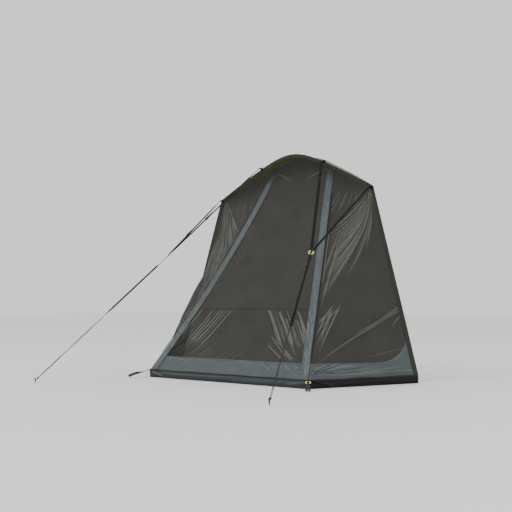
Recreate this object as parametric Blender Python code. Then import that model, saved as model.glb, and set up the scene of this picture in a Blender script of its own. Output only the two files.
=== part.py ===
"""Zip-in insect-screen room for the porch arch of an inflatable tent.

Three mesh walls rise from a shallow groundsheet tub to an arched zip seam under a narrow eave.
Two V-shaped guy lines pull the arch forward, and two straps peg the front corners out.

Metres, +Z up, the front is at -Y. The arch stands in the plane y = 0 of the design frame, and
the empty "screen_room" moves that frame so that the origin is under the middle of the object.
Shapes are worked out for the right-hand side (+X); the left-hand side is their mirror image.
"""

import itertools
import math

import bmesh
import bpy
from mathutils import Matrix, Vector

# Arch: straight legs from the feet to the shoulders, then a rounded crown.
FOOT = Vector((1.254, -0.080, 0.0))
SHOULDER = Vector((0.814, 0.0, 1.590))
CROWN_SLOPE = 0.575  # rise per metre towards the middle, away from the round top
CROWN_ROUND = 0.24  # half-width of the round top
EAVE_DEPTH = 0.205  # how far the mesh seam is set back from the arch edge at the apex
EAVE_FALL = 0.004  # and how far it lies below that edge

# Front corners, from the tub to the mesh seam, as one long shallow arc on each side.
CORNER_BASE = Vector((0.800, -0.955, 0.060))
CORNER_TOP_X = 0.337
CORNER_SAG = 0.044
CORNER_SAG_WAY = Vector((-0.453, 0.696, -0.559))

# Heights as shares of the corner arc's length.
CROWN_START = 0.55  # where the front wall starts to round towards its crown
SKIRT_START = 0.0015
SKIRT_SHARE = 0.066
MIDDLE_SEAM_SHARE = 0.300
GUSSET_SHARE = 0.260  # top of the rear gusset, as a share of the leg
GUSSET_START = 0.62  # where the gusset starts to rise, as a share of the side's length
SIDE_BULGE = 0.085
SIDE_BULGE_WAY = Vector((0.77, -0.64, 0.0))
BULGE_SHAPE = 6.75  # makes the greatest value of v (1 - v) squared 1

PANEL = 0.003  # thickness of every cloth solid
GAP = 0.001  # half the gap between cloth panels that are sewn together
CLEARANCE = 0.0008  # between pieces that touch on the real object
TOP_GAP = 0.008  # between the walls and the eave, as a share of their height
TUB_TOP = 0.058
TUB_WALL = 0.005
TUB_INSET = 0.010  # how far the front tub wall stops short of the corner, and the sides by less
SIDE_INSET = 0.008
EDGE_INSET = 0.004  # where a wall's panels stop beside a corner

TAPE_WIDTH = 0.070
TAPE_OVERHANG = -0.009
TAPE_LIFT = 0.0045
TAPE_START = 0.008
TAPE_END = 0.985
SEAM_TAPE_HALF = 0.011
SEAM_TAPE = 0.001
SEAM_REACH = 0.84  # the seam tape stops beside the corner tapes, at this share of the half-width
SILL_HEIGHT = 0.014
LEG_TAPE_WIDTH = 0.036
LEG_TAPE_LIFT = 0.0065
CROWN_TAPE_WIDTH = 0.026
CROWN_TAPE_INSET = 0.012  # both stop beside the shoulders by this much
EAVE_INSET = 0.045

# Zips: the chain stands along the ridge where the front and side walls meet.
CHAIN_WIDTH = 0.008
CHAIN_THICKNESS = 0.003
CHAIN_ALONG = 0.002
CHAIN_LIFT = 0.0085
CHAIN_START = 0.085
CHAIN_END = 0.850
SLIDER_SHARE = 0.245
SLIDER_SIZE = Vector((0.014, 0.020, 0.0078))
SLIDER_BORE = Vector((0.0092, 0.020, 0.0038))
PULL_SIZE = Vector((0.007, 0.034, 0.0015))

# Guy lines: two webbing legs from the arch to a ring, one webbing and one cord down to a peg.
GUY_INNER = Vector((0.339, -0.045, 1.842))
GUY_OUTER = Vector((0.800, -0.040, 1.580))
GUY_RING = Vector((0.750, -0.836, 1.001))
GUY_PEG = Vector((1.131, -1.881, 0.022))
GUY_CORD_START = 0.545  # share of the way from the ring to the peg
WEBBING_WIDTH = 0.025
WEBBING = 0.002
GATHER = 0.065  # length over which a leg narrows towards its ring
GATHERED_WIDTH = 0.0080
LOOP_ROOT_Y = -0.0065  # the sewn ends of the arch loops, on the crown's zip tape
LOOP_RISE = 0.002
LOOP_PLAY = 0.007  # between a loop and its leg
RING_RADIUS = 0.0175
RING_WIRE = 0.0040
BUCKLE_SIZE = Vector((0.036, 0.026, 0.0076))
BUCKLE_BORE = Vector((0.0262, 0.026, 0.0032))
BUCKLE_INNER_SHARE = 0.57
BUCKLE_OUTER_SHARE = 0.60
CORD_RADIUS = 0.0025
PEG_RADIUS = 0.0035
PEG_FOOT = 0.0021  # height of the rod's lowest point
PEG_LEAN = 0.004
PEG_NECK = 0.010
PEG_HOOK_RADIUS = 0.008
PEG_HOOK_ANGLE = 0.8 * math.pi

# Corner peg-outs.
CORNER_RING = Vector((0.823, -0.992, 0.052))
CORNER_STRAP_END = Vector((0.900, -1.112, 0.0060))
TAB_SEWN = Vector((0.0045, -0.0075, 0.0))  # the tab's sewn end, from the corner's base
TAB_PLAY = 0.0025  # between the tab and the ring, so that the ring can swing

FRAME_SHIFT = 0.455  # design frame to part frame, along Y

COLOURS = {
    "mesh": ((0.040, 0.037, 0.028), 0.75, 0.0),
    "tape": ((0.135, 0.165, 0.175), 0.6, 0.0),
    "skirt": ((0.085, 0.105, 0.115), 0.55, 0.0),
    "tub": ((0.040, 0.052, 0.058), 0.45, 0.0),
    "floor": ((0.030, 0.034, 0.036), 0.6, 0.0),
    "eave": ((0.105, 0.120, 0.035), 0.7, 0.0),
    "webbing": ((0.016, 0.016, 0.017), 0.8, 0.0),
    "ring": ((0.72, 0.68, 0.05), 0.35, 0.0),
    "buckle": ((0.012, 0.012, 0.013), 0.4, 0.0),
    "zip": ((0.020, 0.020, 0.022), 0.45, 0.0),
    "cord": ((0.060, 0.058, 0.050), 0.8, 0.0),
    "peg": ((0.030, 0.030, 0.032), 0.35, 1.0),
}


def clear_scene():
    for old in list(bpy.data.objects):
        bpy.data.objects.remove(old, do_unlink=True)


def make_material(name):
    colour, roughness, metallic = COLOURS[name]
    material = bpy.data.materials.new(name)
    material.use_nodes = True
    shader = material.node_tree.nodes["Principled BSDF"]
    shader.inputs["Base Color"].default_value = (*colour, 1.0)
    shader.inputs["Roughness"].default_value = roughness
    shader.inputs["Metallic"].default_value = metallic
    return material


def make_empty(name, location, parent=None):
    empty = bpy.data.objects.new(name, None)
    empty.location = location
    empty.parent = parent
    bpy.context.scene.collection.objects.link(empty)
    return empty


# ---------------------------------------------------------------- curves and surfaces


def mix(a, b, share):
    return a + (b - a) * share


def arch_edge(x):
    """The arch's front edge between the shoulders."""
    top = SHOULDER.z + CROWN_SLOPE * math.hypot(SHOULDER.x, CROWN_ROUND)
    return Vector((x, 0.0, top - CROWN_SLOPE * math.hypot(x, CROWN_ROUND)))


def mesh_seam(x):
    """The seam that joins the mesh walls to the eave, set back from the arch edge."""
    edge = arch_edge(x)
    return edge + Vector((0.0, EAVE_DEPTH * (1 - (x / SHOULDER.x) ** 2), -EAVE_FALL))


def leg_line(share):
    """The arch's leg from the tub's top edge (0) to the shoulder (1)."""
    foot = mix(FOOT, SHOULDER, CORNER_BASE.z / SHOULDER.z)
    return mix(foot, SHOULDER, share)


class CornerArc:
    """The right-hand front corner: a circular arc that sags a little into the room."""

    def __init__(self):
        self.start = CORNER_BASE
        self.end = mesh_seam(CORNER_TOP_X)
        chord = self.end - self.start
        self.along = chord.normalized()
        sag_way = CORNER_SAG_WAY - self.along * CORNER_SAG_WAY.dot(self.along)
        self.middle = sag_way.normalized()
        self.radius = chord.length**2 / (8 * CORNER_SAG) + CORNER_SAG / 2
        self.half_angle = math.asin(chord.length / 2 / self.radius)
        self.centre = mix(self.start, self.end, 0.5) + self.middle * (CORNER_SAG - self.radius)
        self.across = self.middle.cross(self.along)  # away from the front, along the side wall

    def point(self, share, along_side=0.0, lift=0.0):
        """A point beside the arc: along_side towards the rear of the side wall, lift outwards."""
        angle = (2 * share - 1) * self.half_angle
        radial = self.middle * math.cos(angle) + self.along * math.sin(angle)
        return self.centre + radial * (self.radius - lift) + self.across * along_side

    def axes(self, share):
        """(across, tangent, outward) unit vectors at a share of the arc."""
        angle = (2 * share - 1) * self.half_angle
        radial = self.middle * math.cos(angle) + self.along * math.sin(angle)
        tangent = self.along * math.cos(angle) - self.middle * math.sin(angle)
        return self.across, tangent, -radial


CORNER = CornerArc()


def front_point(s, t):
    """The front wall: s from -1 to 1 across, t from the tub to the mesh seam."""
    right = CORNER.point(t)
    rise = mesh_seam(0.0) - mesh_seam(CORNER_TOP_X)
    crown = max(0.0, (t - CROWN_START) / (1 - CROWN_START)) ** 2
    point = Vector((right.x * s, right.y, right.z))
    return point + Vector((0.0, rise.y, rise.z)) * crown * (1 - s * s)


def side_point(u, v):
    """The right-hand wall: u from the front corner to the leg, v from the tub to the seam."""
    front, leg = CORNER.point(v), leg_line(v)
    base = mix(CORNER.point(0), leg_line(0), u)
    top = mesh_seam(CORNER_TOP_X + (SHOULDER.x - CORNER_TOP_X) * u)
    top.z += EAVE_FALL * u
    corners = mix(
        mix(CORNER.point(0), leg_line(0), u), mix(CORNER.point(1), leg_line(1), u), v
    )
    point = mix(front, leg, u) + mix(base, top, v) - corners
    bulge = SIDE_BULGE * math.sin(math.pi * u) ** 2 * BULGE_SHAPE * v * (1 - v) ** 2
    return point + SIDE_BULGE_WAY * bulge


def gusset_top(u):
    """The share of the side wall's height where its skirt ends."""
    rise = max(0.0, (u - GUSSET_START) / (1 - GUSSET_START))
    return SKIRT_SHARE + (GUSSET_SHARE - SKIRT_SHARE) * (1 - math.sqrt(1 - rise * rise))


def lifted(surface, a, b, lift):
    """A point that stands out from a surface by lift, along its outward normal."""
    step = 1e-3
    across = surface(a + step, b) - surface(a - step, b)
    up = surface(a, b + step) - surface(a, b - step)
    return surface(a, b) + across.cross(up).normalized() * lift


def steps(low, high, count):
    return [low + (high - low) * i / count for i in range(count + 1)]


# ---------------------------------------------------------------- solids


def mesh_of(name, shape):
    """The mesh of a closed bmesh, with its faces turned outwards."""
    if shape.calc_volume(signed=True) < 0:
        bmesh.ops.reverse_faces(shape, faces=shape.faces)
    mesh = bpy.data.meshes.new(name)
    shape.to_mesh(mesh)
    shape.free()
    return mesh


class Builder:
    """Makes the solids, mirroring each right-hand shape when side is -1."""

    def __init__(self):
        self.root = make_empty("screen_room", (0.0, FRAME_SHIFT, 0.0))
        self.materials = {name: make_material(name) for name in COLOURS}

    def add(self, name, mesh, material, pivot, parent):
        """Links a mesh whose points are in the design frame, with its origin at pivot."""
        mesh.transform(Matrix.Translation(-pivot))
        mesh.materials.append(self.materials[material])
        made = bpy.data.objects.new(name, mesh)
        bpy.context.scene.collection.objects.link(made)
        made.parent = parent or self.root
        made.location = pivot - (parent.location if parent else Vector())
        return made

    def cloth(self, name, rows, thickness, material, side=1, pivot=None, parent=None):
        """A sheet through a grid of points, thickened evenly to both sides."""
        shape = bmesh.new()
        grid = [[shape.verts.new(flip(p, side)) for p in row] for row in rows]
        for low, high in zip(grid, grid[1:]):
            for i in range(len(low) - 1):
                shape.faces.new((low[i], low[i + 1], high[i + 1], high[i]))
        mesh = bpy.data.meshes.new(name)
        shape.to_mesh(mesh)
        shape.free()
        made = self.add(name, mesh, material, pivot or Vector(), parent)
        solidify = made.modifiers.new("thickness", "SOLIDIFY")
        solidify.thickness = thickness
        solidify.offset = 0.0
        return made

    def strap(
        self, name, start, end, across, material, side=1, pivot=None, parent=None, gathered=False
    ):
        """Flat webbing between two points. A gathered end narrows where it goes round a ring."""
        half = across.normalized() * WEBBING_WIDTH / 2
        length = (end - start).length
        spots = [(0.0, 1.0), (0.5, 1.0), (1.0, 1.0)]
        if gathered:
            spots = [(0, 1), (0.5, 1), (1 - GATHER / length, 1), (1.0, GATHERED_WIDTH / WEBBING_WIDTH)]
        rows = []
        for share, width in spots:
            middle = mix(start, end, share)
            rows.append([middle - half * width, middle, middle + half * width])
        return self.cloth(name, rows, WEBBING, material, side, pivot, parent)

    def sleeve(self, name, centre, axes, size, bore, material, side, pivot, parent):
        """A rectangular tube: a buckle round its webbing, or a slider round its chain."""
        shape = bmesh.new()
        rings = []
        for frame in (size, bore):
            for end in (-0.5, 0.5):
                corners = ((-0.5, -0.5), (0.5, -0.5), (0.5, 0.5), (-0.5, 0.5))
                ring = [
                    centre + axes[0] * frame.x * x + axes[1] * size.y * end + axes[2] * frame.z * z
                    for x, z in corners
                ]
                rings.append([shape.verts.new(flip(p, side)) for p in ring])
        outer_low, outer_high, bore_low, bore_high = rings
        for i in range(4):
            j = (i + 1) % 4
            shape.faces.new((outer_low[i], outer_low[j], outer_high[j], outer_high[i]))
            shape.faces.new((bore_low[j], bore_low[i], bore_high[i], bore_high[j]))
            shape.faces.new((outer_low[j], outer_low[i], bore_low[i], bore_low[j]))
            shape.faces.new((outer_high[i], outer_high[j], bore_high[j], bore_high[i]))
        mesh = mesh_of(name, shape)
        return self.add(name, mesh, material, pivot, parent)

    def plate(self, name, centre, axes, size, material, side, pivot, parent):
        """A plain block."""
        shape = bmesh.new()
        bmesh.ops.create_cube(shape, size=1.0)
        for vertex in shape.verts:
            local = vertex.co.copy()
            spot = centre.copy()
            for axis, length, share in zip(axes, size, local):
                spot += axis * length * share
            vertex.co = flip(spot, side)
        mesh = mesh_of(name, shape)
        return self.add(name, mesh, material, pivot, parent)

    def ring(self, name, centre, normal, side, pivot, parent):
        """A round plastic ring in the plane across normal."""
        turns, sides = 20, 8
        shape = bmesh.new()
        grid = []
        for i in range(turns):
            round_ring = Matrix.Rotation(2 * math.pi * i / turns, 3, "Z")
            wire = []
            for j in range(sides):
                angle = 2 * math.pi * j / sides
                spot = (RING_RADIUS + RING_WIRE * math.cos(angle), 0.0, RING_WIRE * math.sin(angle))
                wire.append(shape.verts.new(round_ring @ Vector(spot)))
            grid.append(wire)
        for i, j in itertools.product(range(turns), range(sides)):
            after, above = (i + 1) % turns, (j + 1) % sides
            shape.faces.new((grid[i][j], grid[after][j], grid[after][above], grid[i][above]))
        turn = normal.to_track_quat("Z", "Y").to_matrix().to_4x4()
        bmesh.ops.transform(shape, matrix=Matrix.Translation(centre) @ turn, verts=shape.verts)
        for vertex in shape.verts:
            vertex.co = flip(vertex.co, side)
        mesh = mesh_of(name, shape)
        mesh.shade_smooth()
        return self.add(name, mesh, "ring", pivot, parent)

    def round_bar(self, name, points, radius, material, side, pivot, parent):
        """A round bar or cord along a list of points."""
        curve = bpy.data.curves.new(name, "CURVE")
        curve.dimensions = "3D"
        curve.bevel_depth = radius
        curve.bevel_resolution = 2
        curve.use_fill_caps = True
        spline = curve.splines.new("POLY")
        spline.points.add(len(points) - 1)
        for target, point in zip(spline.points, points):
            target.co = (*(flip(point, side) - pivot), 1.0)
        curve.materials.append(self.materials[material])
        made = bpy.data.objects.new(name, curve)
        bpy.context.scene.collection.objects.link(made)
        made.parent = parent
        made.location = pivot - parent.location
        return made


def flip(point, side):
    return Vector((point.x * side, point.y, point.z))


# ---------------------------------------------------------------- the fixed cloth


def make_base(build):
    """Groundsheet, tub walls and the sill bindings along their seam."""
    front, rear = CORNER_BASE, leg_line(0.0)
    inset = TUB_WALL / 2 + EDGE_INSET
    outline = [(front.x - 2 * inset, front.y + inset), (rear.x - 2 * inset, rear.y)]
    rows = [[Vector((x * s, y, PANEL / 2)) for s in steps(-1, 1, 6)] for x, y in outline]
    build.cloth("groundsheet", rows, PANEL, "floor")

    wall_levels = (0.0, TUB_TOP / 2, TUB_TOP)
    width = front.x - TUB_INSET
    rows = [[Vector((width * s, front.y, z)) for s in steps(-1, 1, 6)] for z in wall_levels]
    build.cloth("tub_front", rows, TUB_WALL, "tub")
    sill_levels = (front.z - SILL_HEIGHT / 2, front.z + SILL_HEIGHT / 2)
    lift = (TUB_WALL + PANEL + GAP) / 2
    rows = [[Vector((width * s, front.y - lift, z)) for s in steps(-1, 1, 6)] for z in sill_levels]
    build.cloth("sill_front", rows, PANEL, "tape")

    side_way = (rear - front).normalized()
    out = Vector((side_way.y, -side_way.x, 0.0))
    first = front + side_way * SIDE_INSET
    line = [mix(first, rear, s) for s in steps(0, 1, 4)]
    for side, word in ((1, "right"), (-1, "left")):
        rows = [[Vector((p.x, p.y, z)) for p in line] for z in wall_levels]
        build.cloth(f"tub_{word}", rows, TUB_WALL, "tub", side)
        rows = [[Vector((p.x, p.y, z)) + out * lift for p in line] for z in sill_levels]
        build.cloth(f"sill_{word}", rows, PANEL, "tape", side)


def make_front(build):
    """Front skirt, the two mesh panels and the tape over the seam between them."""
    length = (CORNER.end - CORNER.start).length
    gap = GAP / length
    levels = (
        ("front_skirt", SKIRT_START, SKIRT_SHARE - gap, 2, "skirt"),
        ("front_mesh_lower", SKIRT_SHARE + gap, MIDDLE_SEAM_SHARE - gap, 3, "mesh"),
        ("front_mesh_upper", MIDDLE_SEAM_SHARE + gap, 1 - TOP_GAP, 9, "mesh"),
    )
    for name, low, high, count, material in levels:
        rows = []
        for t in steps(low, high, count):
            edge = 1 - EDGE_INSET / CORNER.point(t).x
            rows.append([front_point(s * edge, t) for s in steps(-1, 1, 8)])
        build.cloth(name, rows, PANEL, material)
    half = SEAM_TAPE_HALF / length
    lift = (PANEL + SEAM_TAPE) / 2 + SEAM_TAPE / 2
    rows = []
    for t in (MIDDLE_SEAM_SHARE - half, MIDDLE_SEAM_SHARE + half):
        rows.append([lifted(front_point, s, t, lift) for s in steps(-SEAM_REACH, SEAM_REACH, 6)])
    build.cloth("mesh_seam_tape", rows, SEAM_TAPE, "webbing")


def make_side(build, side, word):
    """Side skirt with its rear gusset, the side mesh, the corner tape and the leg's zip tape."""
    length = (CORNER.end - CORNER.start).length
    gap = GAP / length
    across = steps(1.5 * EDGE_INSET, 1 - EDGE_INSET, 12)
    rows = []
    for w in steps(0, 1, 3):
        rows.append([side_point(u, mix(SKIRT_START, gusset_top(u) - gap, w)) for u in across])
    build.cloth(f"side_skirt_{word}", rows, PANEL, "skirt", side)
    rows = []
    for w in steps(0, 1, 10):
        rows.append([side_point(u, mix(gusset_top(u) + gap, 1 - TOP_GAP, w)) for u in across])
    build.cloth(f"side_mesh_{word}", rows, PANEL, "mesh", side)

    rows = []
    for t in steps(TAPE_START, TAPE_END, 14):
        x = CORNER.point(t).x
        inner, outer = (x - TAPE_WIDTH + TAPE_OVERHANG) / x, (x + TAPE_OVERHANG) / x
        across = (inner, (inner + outer) / 2, outer)
        rows.append([lifted(front_point, s, t, TAPE_LIFT) for s in across])
    build.cloth(f"corner_tape_{word}", rows, PANEL, "tape", side)

    rows = []
    for v in steps(TAPE_START, TAPE_END, 14):
        width = LEG_TAPE_WIDTH / (side_point(1, v) - side_point(0, v)).length
        rows.append([lifted(side_point, u, v, LEG_TAPE_LIFT) for u in (1 - width, 1 - width / 2, 1)])
    build.cloth(f"leg_zip_tape_{word}", rows, PANEL, "zip", side)


def make_crown(build):
    """The zip tape along the crown's edge and the eave behind it."""
    reach = SHOULDER.x - CROWN_TAPE_INSET
    columns = [arch_edge(x) - Vector((0.0, PANEL, 0.0)) for x in steps(-reach, reach, 24)]
    rows = [[p - Vector((0.0, 0.0, drop)) for p in columns] for drop in (CROWN_TAPE_WIDTH, 0.0)]
    build.cloth("crown_zip_tape", rows, PANEL, "zip")
    reach = SHOULDER.x - EAVE_INSET
    across = steps(-reach, reach, 24)
    rows = []
    for share in (0.0, 0.5, 1.0):
        rows.append([mix(arch_edge(x), mesh_seam(x), share) for x in across])
    for point in itertools.chain(*rows):
        point.z -= GAP
    build.cloth("eave_panel", rows, PANEL, "eave")


# ---------------------------------------------------------------- moving pieces


def make_zip(build, side, word):
    """Zip chain, and the slider and pull that run along it about the corner arc's centre."""
    rows = []
    for t in steps(CHAIN_START, CHAIN_END, 16):
        half = CHAIN_WIDTH / 2
        rows.append([CORNER.point(t, CHAIN_ALONG + w, CHAIN_LIFT) for w in (-half, half)])
    build.cloth(f"zip_chain_{word}", rows, CHAIN_THICKNESS, "zip", side)

    centre = flip(CORNER.centre, side)
    hub = make_empty(f"zip_arc_centre_{word}", centre, build.root)
    axes = CORNER.axes(SLIDER_SHARE)
    middle = CORNER.point(SLIDER_SHARE, CHAIN_ALONG, CHAIN_LIFT)
    build.sleeve(
        f"zip_slider_{word}", middle, axes, SLIDER_SIZE, SLIDER_BORE, "zip", side, centre, hub
    )
    pivot = middle + axes[2] * (SLIDER_SIZE.z + PULL_SIZE.z + GAP) / 2
    hinge = flip(pivot, side)
    pull_centre = pivot - axes[1] * (PULL_SIZE.y / 2 - CLEARANCE)
    build.plate(f"zip_pull_{word}", pull_centre, axes, PULL_SIZE, "zip", side, hinge, hub)


def make_guy(build, side, word):
    """One V guy line, hinged about the line through its two loops on the arch."""
    inner, outer, ring, peg = GUY_INNER, GUY_OUTER, GUY_RING, GUY_PEG
    plane = (inner - ring).cross(outer - ring).normalized()
    if plane.z < 0:
        plane.negate()
    axis_middle = mix(inner, outer, 0.5)
    hub = make_empty(f"guy_axis_{word}", flip(axis_middle, side), build.root)
    place = (side, flip(axis_middle, side), hub)

    stop = RING_RADIUS + RING_WIRE + CLEARANCE
    for part, top, share in (
        ("inner", inner, BUCKLE_INNER_SHARE),
        ("outer", outer, BUCKLE_OUTER_SHARE),
    ):
        way = (ring - top).normalized()
        across = way.cross(plane).normalized()
        end = ring - way * stop
        leg = f"guy_leg_{part}_{word}"
        build.strap(leg, top, end, across, "webbing", *place, gathered=True)
        middle = mix(top, ring, share)
        pivot = flip(middle, side)
        axes = (across, way, across.cross(way).normalized())
        buckle = f"guy_buckle_{part}_{word}"
        build.sleeve(buckle, middle, axes, BUCKLE_SIZE, BUCKLE_BORE, "buckle", side, pivot, hub)

        root = Vector((top.x, LOOP_ROOT_Y, top.z + LOOP_RISE))
        back = (root - top).normalized()
        loop_across = across - back * across.dot(back)
        loop = f"guy_loop_{part}_{word}"
        build.strap(loop, root, top + back * LOOP_PLAY, loop_across, "webbing", side)

    build.ring(f"guy_ring_{word}", ring, plane, *place)
    down = (peg - ring).normalized()
    across = down.cross(plane).normalized()
    split = mix(ring, peg, GUY_CORD_START)
    build.strap(f"guy_webbing_{word}", ring + down * stop, split, across, "webbing", *place)
    cord_top = split + down * CLEARANCE
    cord_end = peg - down * (PEG_RADIUS + 2 * CORD_RADIUS)
    points = [mix(cord_top, cord_end, s) for s in steps(0, 1, 24)]
    build.round_bar(f"guy_cord_{word}", points, CORD_RADIUS, "cord", *place)
    make_peg(build, f"guy_peg_{word}", peg, down, place)


def make_peg(build, name, hook, down, place):
    """The part of a hooked steel peg that stands out of the ground, the cord held at its neck."""
    away = Vector((down.x, down.y, 0.0)).normalized()
    foot = Vector((hook.x, hook.y, PEG_FOOT)) - away * PEG_LEAN
    neck = Vector((hook.x, hook.y, hook.z + PEG_NECK))
    bend = []
    for angle in steps(0.0, PEG_HOOK_ANGLE, 5):
        forward, rise = 1 - math.cos(angle), math.sin(angle)
        bend.append(neck + (away * forward + Vector((0.0, 0.0, rise))) * PEG_HOOK_RADIUS)
    build.round_bar(name, [foot, mix(foot, neck, 0.5), *bend], PEG_RADIUS, "peg", *place)


def make_corner(build, side, word):
    """The front corner's tab, and the ring and strap that peg it out."""
    tab_start = CORNER_BASE + TAB_SEWN
    way = (CORNER_STRAP_END - CORNER_RING).normalized()
    across = Vector((-way.y, way.x, 0.0)).normalized()
    plane = across.cross(way).normalized()
    reach = RING_RADIUS + RING_WIRE
    tab_way = (CORNER_RING - tab_start).normalized()
    tab_end = CORNER_RING - tab_way * (reach + TAB_PLAY)
    build.strap(f"corner_tab_{word}", tab_start, tab_end, across, "webbing", side)

    pivot = flip(CORNER_RING - tab_way * RING_RADIUS, side)
    hub = make_empty(f"corner_axis_{word}", pivot, build.root)
    place = (side, pivot, hub)
    build.ring(f"corner_ring_{word}", CORNER_RING, plane, *place)
    start = CORNER_RING + way * (reach + CLEARANCE)
    build.strap(f"corner_strap_{word}", start, CORNER_STRAP_END, across, "webbing", *place)


def main():
    clear_scene()
    build = Builder()
    make_base(build)
    make_front(build)
    make_crown(build)
    for side, word in ((1, "right"), (-1, "left")):
        make_side(build, side, word)
        make_zip(build, side, word)
        make_guy(build, side, word)
        make_corner(build, side, word)


main()
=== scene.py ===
"""Looks of the zip-in insect-screen room: net walls, cloth, tapes, zips, guy lines and finishes.

Shapes are worked out in metres in the design frame, where the arch stands in the plane y = 0,
and add_piece moves them to the part's frame. Shapes are made for the right-hand side (+X), and
the left-hand side is their mirror image with its own wrinkles.
"""

import math

import bmesh
import bpy
import numpy as np
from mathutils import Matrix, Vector


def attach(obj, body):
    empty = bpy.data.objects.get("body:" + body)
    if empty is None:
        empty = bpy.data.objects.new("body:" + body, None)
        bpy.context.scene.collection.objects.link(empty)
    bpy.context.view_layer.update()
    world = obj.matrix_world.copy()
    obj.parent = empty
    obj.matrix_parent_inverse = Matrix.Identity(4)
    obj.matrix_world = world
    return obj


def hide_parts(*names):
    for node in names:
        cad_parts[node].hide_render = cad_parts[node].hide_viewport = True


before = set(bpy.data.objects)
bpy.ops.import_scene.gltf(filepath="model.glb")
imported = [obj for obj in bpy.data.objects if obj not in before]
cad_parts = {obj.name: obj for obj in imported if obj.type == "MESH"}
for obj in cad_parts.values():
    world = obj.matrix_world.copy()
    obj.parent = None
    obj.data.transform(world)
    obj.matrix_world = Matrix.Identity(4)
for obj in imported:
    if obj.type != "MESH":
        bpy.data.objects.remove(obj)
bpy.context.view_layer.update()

# ---------------------------------------------------------------- dimensions, the CAD's where it has them

FRAME_SHIFT = 0.455  # design frame to part frame, along Y

FOOT = np.array((1.254, -0.080, 0.0))
SHOULDER = np.array((0.814, 0.0, 1.590))
CROWN_SLOPE = 0.575
CROWN_ROUND = 0.24
EAVE_DEPTH = 0.205
EAVE_FALL = 0.004
CORNER_BASE = np.array((0.800, -0.955, 0.060))
CORNER_TOP_X = 0.337
CORNER_SAG = 0.044
CORNER_SAG_WAY = np.array((-0.453, 0.696, -0.559))
SKIRT_SHARE = 0.066
MIDDLE_SEAM_SHARE = 0.300
GUSSET_SHARE = 0.260
GUSSET_START = 0.62
CROWN_START = 0.55
SIDE_BULGE = 0.085
SIDE_BULGE_WAY = np.array((0.77, -0.64, 0.0))
BULGE_SHAPE = 6.75

TAPE_WIDTH = 0.070
TAPE_INSET = 0.00315  # the corner tape's outer edge, from the corner
TAPE_END = 0.985
LEG_TAPE_WIDTH = 0.036
CROWN_TAPE_WIDTH = 0.026
GROUND_GAP = 0.0018  # the groundsheet's height, and the foot of the tub walls
CLOTH_THICKNESS = 0.0006
TAPE_THICKNESS = 0.0009

CHAIN_ALONG = 0.002
CHAIN_LIFT = 0.0085
CHAIN_START = 0.085
CHAIN_END = 0.850
SLIDER_SHARE = 0.245
EDGE_TOOTH = (0.0050, 0.0024, 0.0024)  # the coil along the arch

GUY_INNER = np.array((0.339, -0.045, 1.842))
GUY_OUTER = np.array((0.800, -0.040, 1.580))
GUY_RING = np.array((0.750, -0.836, 1.001))
GUY_PEG = np.array((1.131, -1.881, 0.022))
GUY_CORD_START = 0.545
WEBBING_WIDTH = 0.025
LEG_ROLL = -0.38  # how far the taut webbing turns about its own length, in radians
LOWER_ROLL = -0.50
RING_RADIUS = 0.0175
RING_WIRE = 0.0040
BUCKLE_INNER_SHARE = 0.57
BUCKLE_OUTER_SHARE = 0.60
LOOP_ROOT_Y = -0.0065
LOOP_RISE = 0.002
CORD_RADIUS = 0.0025
STRAND_RADIUS = 0.0024
KNOT_RADIUS = 0.0074
PEG_RADIUS = 0.0035
PEG_FOOT = 0.0021
PEG_LEAN = 0.004
PEG_NECK = 0.010
PEG_HOOK_RADIUS = 0.008
PEG_HOOK_ANGLE = 0.8 * math.pi

CORNER_RING = np.array((0.823, -0.992, 0.052))
CORNER_STRAP_END = np.array((0.900, -1.112, 0.0060))
TAB_SEWN = np.array((0.0045, -0.0075, 0.0))
STRAP_TWIST_AND_LIFT = {1: (-0.15, 0.0), -1: (-0.75, 0.0065)}  # the left strap lies half on edge

UP = np.array((0.0, 0.0, 1.0))
FRONT = np.array((0.0, -1.0, 0.0))
SIDES = (1, -1)
SIDE_WORDS = {0: "", 1: "_right", -1: "_left"}
GUY_BODY = "guy_line{}"
PEGOUT_BODY = "corner_pegout{}"


# ---------------------------------------------------------------- curves and surfaces


def mix(a, b, share):
    return a + (b - a) * share


def unit(vectors):
    return vectors / np.linalg.norm(vectors, axis=-1, keepdims=True)


def ease(x):
    """0 to 1 with level ends, as x goes from 0 to 1."""
    x = np.clip(x, 0.0, 1.0)
    return x * x * (3 - 2 * x)


def spots(x, y, z):
    """Points from three arrays of coordinates."""
    return np.stack(np.broadcast_arrays(x, y, z), -1).astype(float)


def lengths(path):
    """How far each point of a path is along it."""
    return np.concatenate([[0], np.cumsum(np.linalg.norm(np.diff(path, axis=0), axis=1))])


def sample(values, path, at):
    """Vectors given at each point of a path, or one for all, read at distances along it."""
    values, run = np.broadcast_to(values, path.shape), lengths(path)
    return np.stack([np.interp(at, run, values[:, k]) for k in range(3)], -1)


def grid(start, end, columns, low, high, rows):
    """Two arrays of shares over a surface: one across it and one up it."""
    return np.meshgrid(np.linspace(start, end, columns), np.linspace(low, high, rows))


def arch_edge(x):
    """The arch's front edge between the shoulders."""
    top = SHOULDER[2] + CROWN_SLOPE * math.hypot(SHOULDER[0], CROWN_ROUND)
    return spots(x, 0.0, top - CROWN_SLOPE * np.hypot(x, CROWN_ROUND))


def mesh_seam(x):
    """The seam that joins the net walls to the eave, set back from the arch edge."""
    back = EAVE_DEPTH * (1 - (np.asarray(x) / SHOULDER[0]) ** 2)
    return arch_edge(x) + spots(0.0 * back, back, -EAVE_FALL)


def leg_line(share):
    """The arch's leg from the tub's top edge (0) to the shoulder (1)."""
    foot = mix(FOOT, SHOULDER, CORNER_BASE[2] / SHOULDER[2])
    return mix(foot, SHOULDER, np.asarray(share, float)[..., None])


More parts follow.
